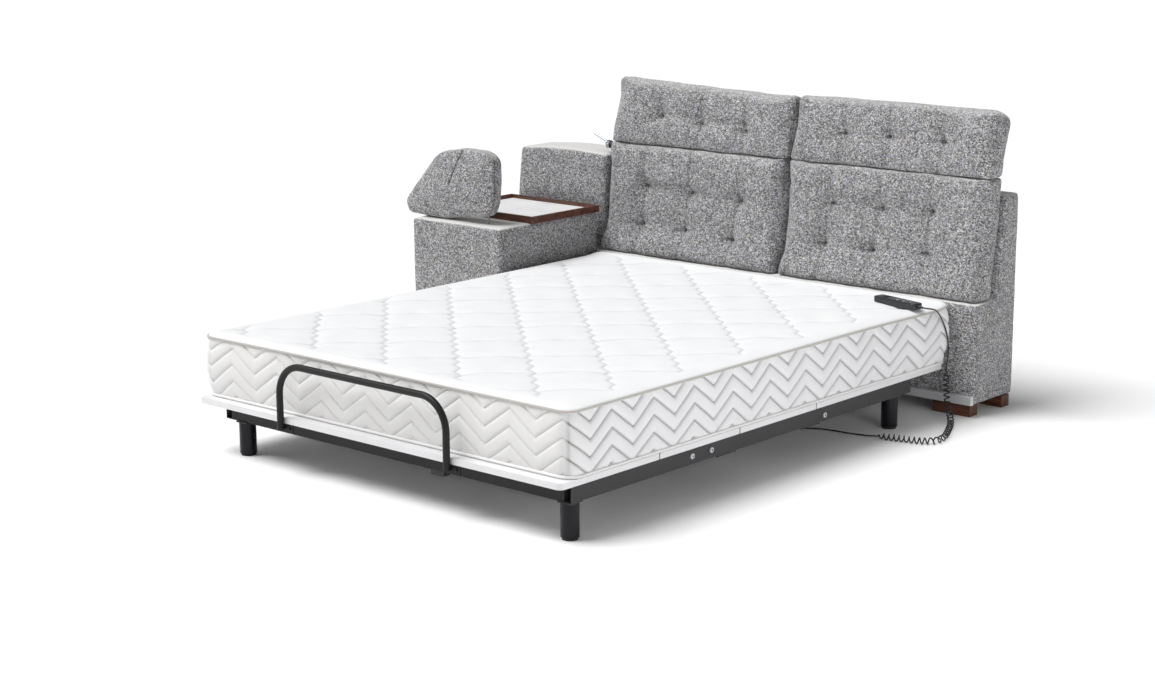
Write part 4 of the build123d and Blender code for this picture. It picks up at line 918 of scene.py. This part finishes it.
for number, (pillow, node, tufts, body, span, z_limits) in enumerate(pillows):
    points, facing, x, y, z = subdivided(pillow)
    refit(points, 0, *span)
    refit(points, 2, *z_limits)
    for edge, inward in zip(z_limits, (1, -1)):
        if edge in (LEDGE, PILLOW_TOP, REST_BOTTOM):      # a flat, tight seam where two cushions meet
            gap = unit((z - edge) * inward / 54)
            z[:] = np.where(gap < 1, edge + inward * 54 * gap ** 2.0, z)
    front = unit(-facing[:, 1] * 1.6 - 0.3)
    dents, shade = tuft_dents(points, tufts, 3)
    share = unit((z - 823) / 210)
    if node == "headrest_left":
        z += 15 * share * np.clip(-(x + 395) / 430, -0.6, 1)
    if node == "headrest_right":
        z -= 18 * share * unit((x - 840) / 60) ** 2
    y += dents * front * 0.9
    if z_limits[0] == LEDGE:
        y -= 38 * bell(z - LEDGE, 80) * unit((2120 - y) / 50)
    ripple = wrinkle(points, 85, number * 7.3) * 2.6 + wrinkle(points, 28, number * 3.1) * 0.9
    seam = bell(y - (np.interp(z, (399, 819, 1040), (2062, 2098, 2164)) + 27), 4.5)
    points += facing * (ripple - 2.4 * seam * (1 - front))[:, None]
    if node.startswith("headrest"):
        z += 1.2 * np.sin(x / 75 + number) * (1 - share)
    upholster(pillow, points, facing, 0.3)
    # painted shade in the tufts' pinches and creases, on the front faces only
    paint(pillow, "crease", shade * front)
    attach(pillow, body)
    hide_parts(node)

points, facing, x, y, z = subdivided(wedge)
refit(points, 0, *WEDGE_SPAN)
refit(points, 2, *WEDGE_HEIGHTS)
seam_line = -1054 - 60 * np.clip((829 - z) / 140, 0, 1.1)
on_seam = unit((z - 655) / 50)
rim = np.abs(facing[:, 1]) < 0.75
points += facing * (wrinkle(points, 75, 4.4) * 3.2 + wrinkle(points, 26, 9.9) * 0.8
                    - 3.4 * on_seam * bell(x - seam_line, 5)
                    - 1.8 * bell(z - 700 - 0.05 * (x + 1200), 7) * unit((-1120 - x) / 30)
                    - 2.2 * bell(y - WEDGE_SEAM_Y, 4.5) * rim)[:, None]
upholster(wedge, points, facing, 0.3)
# painted shade along the wedge's seams
seam_shade = bell(x - seam_line, 4.4) * unit((z - 655) / 50)
seam_shade = np.maximum(seam_shade, bell(y - WEDGE_SEAM_Y, 3) * rim * 0.7)
paint(wedge, "crease", 0.9 * seam_shade)
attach(wedge, "side_rest")
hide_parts("side_cushion")

BOTTOM, REAR, CABINET_RIGHT = 42, 2285, -834
BODY = [(2018, BOTTOM), (REAR, BOTTOM), (REAR, 762), (2197, 762), (2150, 398), (2018, 398)]
LOW_BLOCK = [(2050, BOTTOM), (REAR, BOTTOM), (REAR, 768), (2086, 768), (2086, 380), (2050, 380)]
CABINET = [(-1300, BOTTOM), (CABINET_RIGHT, BOTTOM), (CABINET_RIGHT, 547), (-1300, 547)]
LOW_BLOCK_LEAN = 0.130      # how much narrower the low block is at its top
FRAMES = [("headboard_body", "headboard_shell", BODY, -832, 912, "X", 9, 11),
          ("low_back_block", "low_block_shell", LOW_BLOCK, -1356, CABINET_RIGHT, "X", 16, 10),
          ("cabinet", "cabinet_shell", CABINET, 1477, 2046, "Y", 8, 10)]
for number, (node, name, profile, start, stop, along, radius, voxel) in enumerate(FRAMES):
    shell_piece = refine(prism(name, profile, start, stop, along, radius), voxel)
    points, facing, x, y, z = subdivided(shell_piece)
    lift = wrinkle(points, 190, number * 5.7 + 2) * 2.2 + wrinkle(points, 46, number * 2.9) * 0.7
    if node == "low_back_block":
        x[:] = CABINET_RIGHT + (x - CABINET_RIGHT) * (1 - LOW_BLOCK_LEAN * (z - BOTTOM) / 726)
        x[:] = np.where((y < 2084) & (z < 384), np.maximum(x, -1298), x)      # its foot stays behind the cabinet
        z += 11 * unit((z - 700) / 70) * np.sin(np.pi * unit((x + 1252) / 418))
    lift -= 2.2 * bell(z - 64, 4) * (np.abs(facing[:, 2]) < 0.5)
    points += facing * lift[:, None]
    # a stronger painted highlight on the shells' tops, which also lightens the cabinet top where shadow falls on it
    upholster(shell_piece, points, facing, 0.76)
    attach(shell_piece, "base")
    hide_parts(node)

# ---------------------------------------------------------------- small fittings
def rounded_plate(name, length, width, thickness, place, turn):
    """A flat plate with round corners and a softened rim; place is its underside's middle, turn its angle."""
    form = bmesh.new()
    corner = min(length, width) * 0.45
    ring = []
    for cx, cy, start in ((1, 1, 0), (-1, 1, 90), (-1, -1, 180), (1, -1, 270)):
        for step in range(9):
            angle = math.radians(start + step * 90 / 8)
            ring.append(form.verts.new((cx * (length / 2 - corner) + corner * math.cos(angle),
                                        cy * (width / 2 - corner) + corner * math.sin(angle), 0)))
    face = form.faces.new(ring)
    grown = bmesh.ops.extrude_face_region(form, geom=[face])
    top = [v for v in grown["geom"] if isinstance(v, bmesh.types.BMVert)]
    bmesh.ops.translate(form, verts=top, vec=(0, 0, thickness))
    bmesh.ops.recalc_face_normals(form, faces=form.faces[:])
    rim = [e for e in form.edges if all(abs(v.co.z - thickness) < 1e-6 for v in e.verts)]
    bmesh.ops.bevel(form, geom=rim, offset=thickness * 0.3, segments=3, profile=0.5, affect="EDGES")
    form.transform(Matrix.Translation(at(*place)) @ Matrix.Rotation(turn, 4, "Z"))
    return object_from(form, name)


handset_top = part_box("handset_body")[1][2] * 1000
HANDSET_TURN = math.radians(-13.3)


def on_handset(along, lift):
    """A point on the handset's upper face, along its middle line."""
    return 703 + along * math.cos(HANDSET_TURN), 1847.5 + along * math.sin(HANDSET_TURN), handset_top + lift


satin = painted("handset_satin", (0.045, 0.047, 0.052), 0.36, 1400, 0.0002)
pale = painted("handset_mark", (0.50, 0.52, 0.55), 0.5, 1200, 0.0001)
# Name, length, width, thickness, place along the handset and look of each raised detail, in metres and millimetres
DETAILS = [(f"handset_grip_ridge_{number}", 0.0022, 0.030, 0.0011, along, satin)
           for number, along in enumerate((-66, -59, -52, -45), 1)]
DETAILS += [("handset_divider", 0.0016, 0.034, 0.0009, 25, satin),
            ("handset_lamp_window", 0.006, 0.004, 0.0008, 62, pale)]
for name, length, width, thickness, along, look in DETAILS:
    fitting = rounded_plate(name, length, width, thickness, on_handset(along, -0.2), HANDSET_TURN)
    dress(fitting, look)
    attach(fitting, "back")


def turned_piece(name, middle, outline, sides, ring, smooth):
    """A shape turned about an X-wise axis through middle; outline holds (X offset, radius). A ring has no ends."""
    form = bmesh.new()
    angles = np.linspace(0, 2 * math.pi, sides, endpoint=False)
    loops = [[form.verts.new(middle + Vector((offset, radius * math.cos(a), radius * math.sin(a))) / 1000)
              for a in angles] for offset, radius in outline]
    for first, second in zip(loops, loops[1:] + loops[:1] if ring else loops[1:]):
        for k in range(sides):
            n = (k + 1) % sides
            form.faces.new((first[k], first[n], second[n], second[k]))
    if not ring:
        form.faces.new(loops[0])
        form.faces.new(loops[-1])
    bmesh.ops.recalc_face_normals(form, faces=form.faces[:])
    return object_from(form, name, smooth)


LAMP_DISC = at(-846.3, 2140, 803)
LAMP_FACE = 13.6      # the disc's front, left of its middle
bright = painted("lamp_bright_ring", (0.80, 0.82, 0.86), 0.16, 500, 0.0001, metallic=0.8)
for name, radius, inner, thickness, look in (("lamp_ring", 16.6, 12.6, 3.0, bright),
                                             ("lamp_hub", 7.5, 0.01, 2.6, LOOKS["black_plastic"])):
    outline = [(-LAMP_FACE, radius), (-LAMP_FACE - thickness * 0.8, radius), (-LAMP_FACE - thickness, radius * 0.95),
               (-LAMP_FACE - thickness, inner * 1.04), (-LAMP_FACE - thickness * 0.8, inner), (-LAMP_FACE, inner)]
    ring_piece = turned_piece(name, LAMP_DISC, outline, 48, True, True)
    dress(ring_piece, look)
    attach(ring_piece, "lamp")


SOCKET_RADIUS, SOCKET_DEPTHS = 3.3, (4.2, 5.3)
RAIL_FACES = (("right", 793, 1), ("left", -725, -1))
BOLT_PLACES = ((602, 140), (696, 140), (1293, 134))
# a near-black hexagon on each bolt head: a painted shade where the bolt's socket would be hollow
socket_shade_look = painted("bolt_socket", (0.02, 0.02, 0.022), 0.6, 900, 0.0002)
for side_name, face_x, outward in RAIL_FACES:
    for number, (bolt_y, bolt_z) in enumerate(BOLT_PLACES, 1):
        outline = [(outward * depth, SOCKET_RADIUS) for depth in SOCKET_DEPTHS]
        socket = turned_piece(f"bolt_socket_{side_name}_{number}", at(face_x, bolt_y, bolt_z), outline, 6, False, False)
        dress(socket, socket_shade_look)
        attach(socket, "base")

# ---------------------------------------------------------------- stage and light
floor_mesh = bpy.data.meshes.new("floor")
floor_mesh.from_pydata([(-150, -150, 0), (150, -150, 0), (150, 150, 0), (-150, 150, 0)], [], [(0, 1, 2, 3)])
floor = link("floor", floor_mesh)
floor_material, floor_tree, floor_surface = shader("studio_floor", (0.9, 0.9, 0.9), 0.9, specular=0.1)
dust = add(floor_tree, "ShaderNodeTexNoise", {"Vector": object_place(floor_tree), "Scale": 3.0})
floor_tone = ramp(floor_tree, dust.outputs["Fac"], [(0.3, 0.97), (0.7, 0.985)])
floor_tree.links.new(floor_tone, floor_surface.inputs["Base Color"])
dress(floor, floor_material)

world = bpy.data.worlds.new("studio")
bpy.context.scene.world = world
world.use_nodes = True
background = world.node_tree.nodes["Background"].inputs
background["Color"].default_value = (1, 1, 1, 1)
background["Strength"].default_value = 0.24


def softbox(name, place, target, size, power):
    light = bpy.data.lights.new(name, "AREA")
    light.shape = "RECTANGLE"
    light.size, light.size_y = size
    light.energy = power
    obj = link(name, light)
    obj.location = at(*place)
    obj.rotation_euler = (at(*target) - at(*place)).to_track_quat("-Z", "Y").to_euler()


def sunlight(name, toward, strength, spread):
    """Even light over the whole stage; toward is the direction it travels."""
    light = bpy.data.lights.new(name, "SUN")
    light.energy = strength
    light.angle = math.radians(spread)
    link(name, light).rotation_euler = Vector(toward).to_track_quat("-Z", "Y").to_euler()


sunlight("key", (0.40, 0.36, -1.0), 2.96, 36)
softbox("left_front", (-3900, -2000, 1900), (-300, 2000, 600), (2.0, 2.0), 25)
softbox("side_fill", (3000, 520, 700), (800, 1000, 230), (1.2, 0.8), 17)
bpy.context.scene.view_settings.view_transform = "Standard"
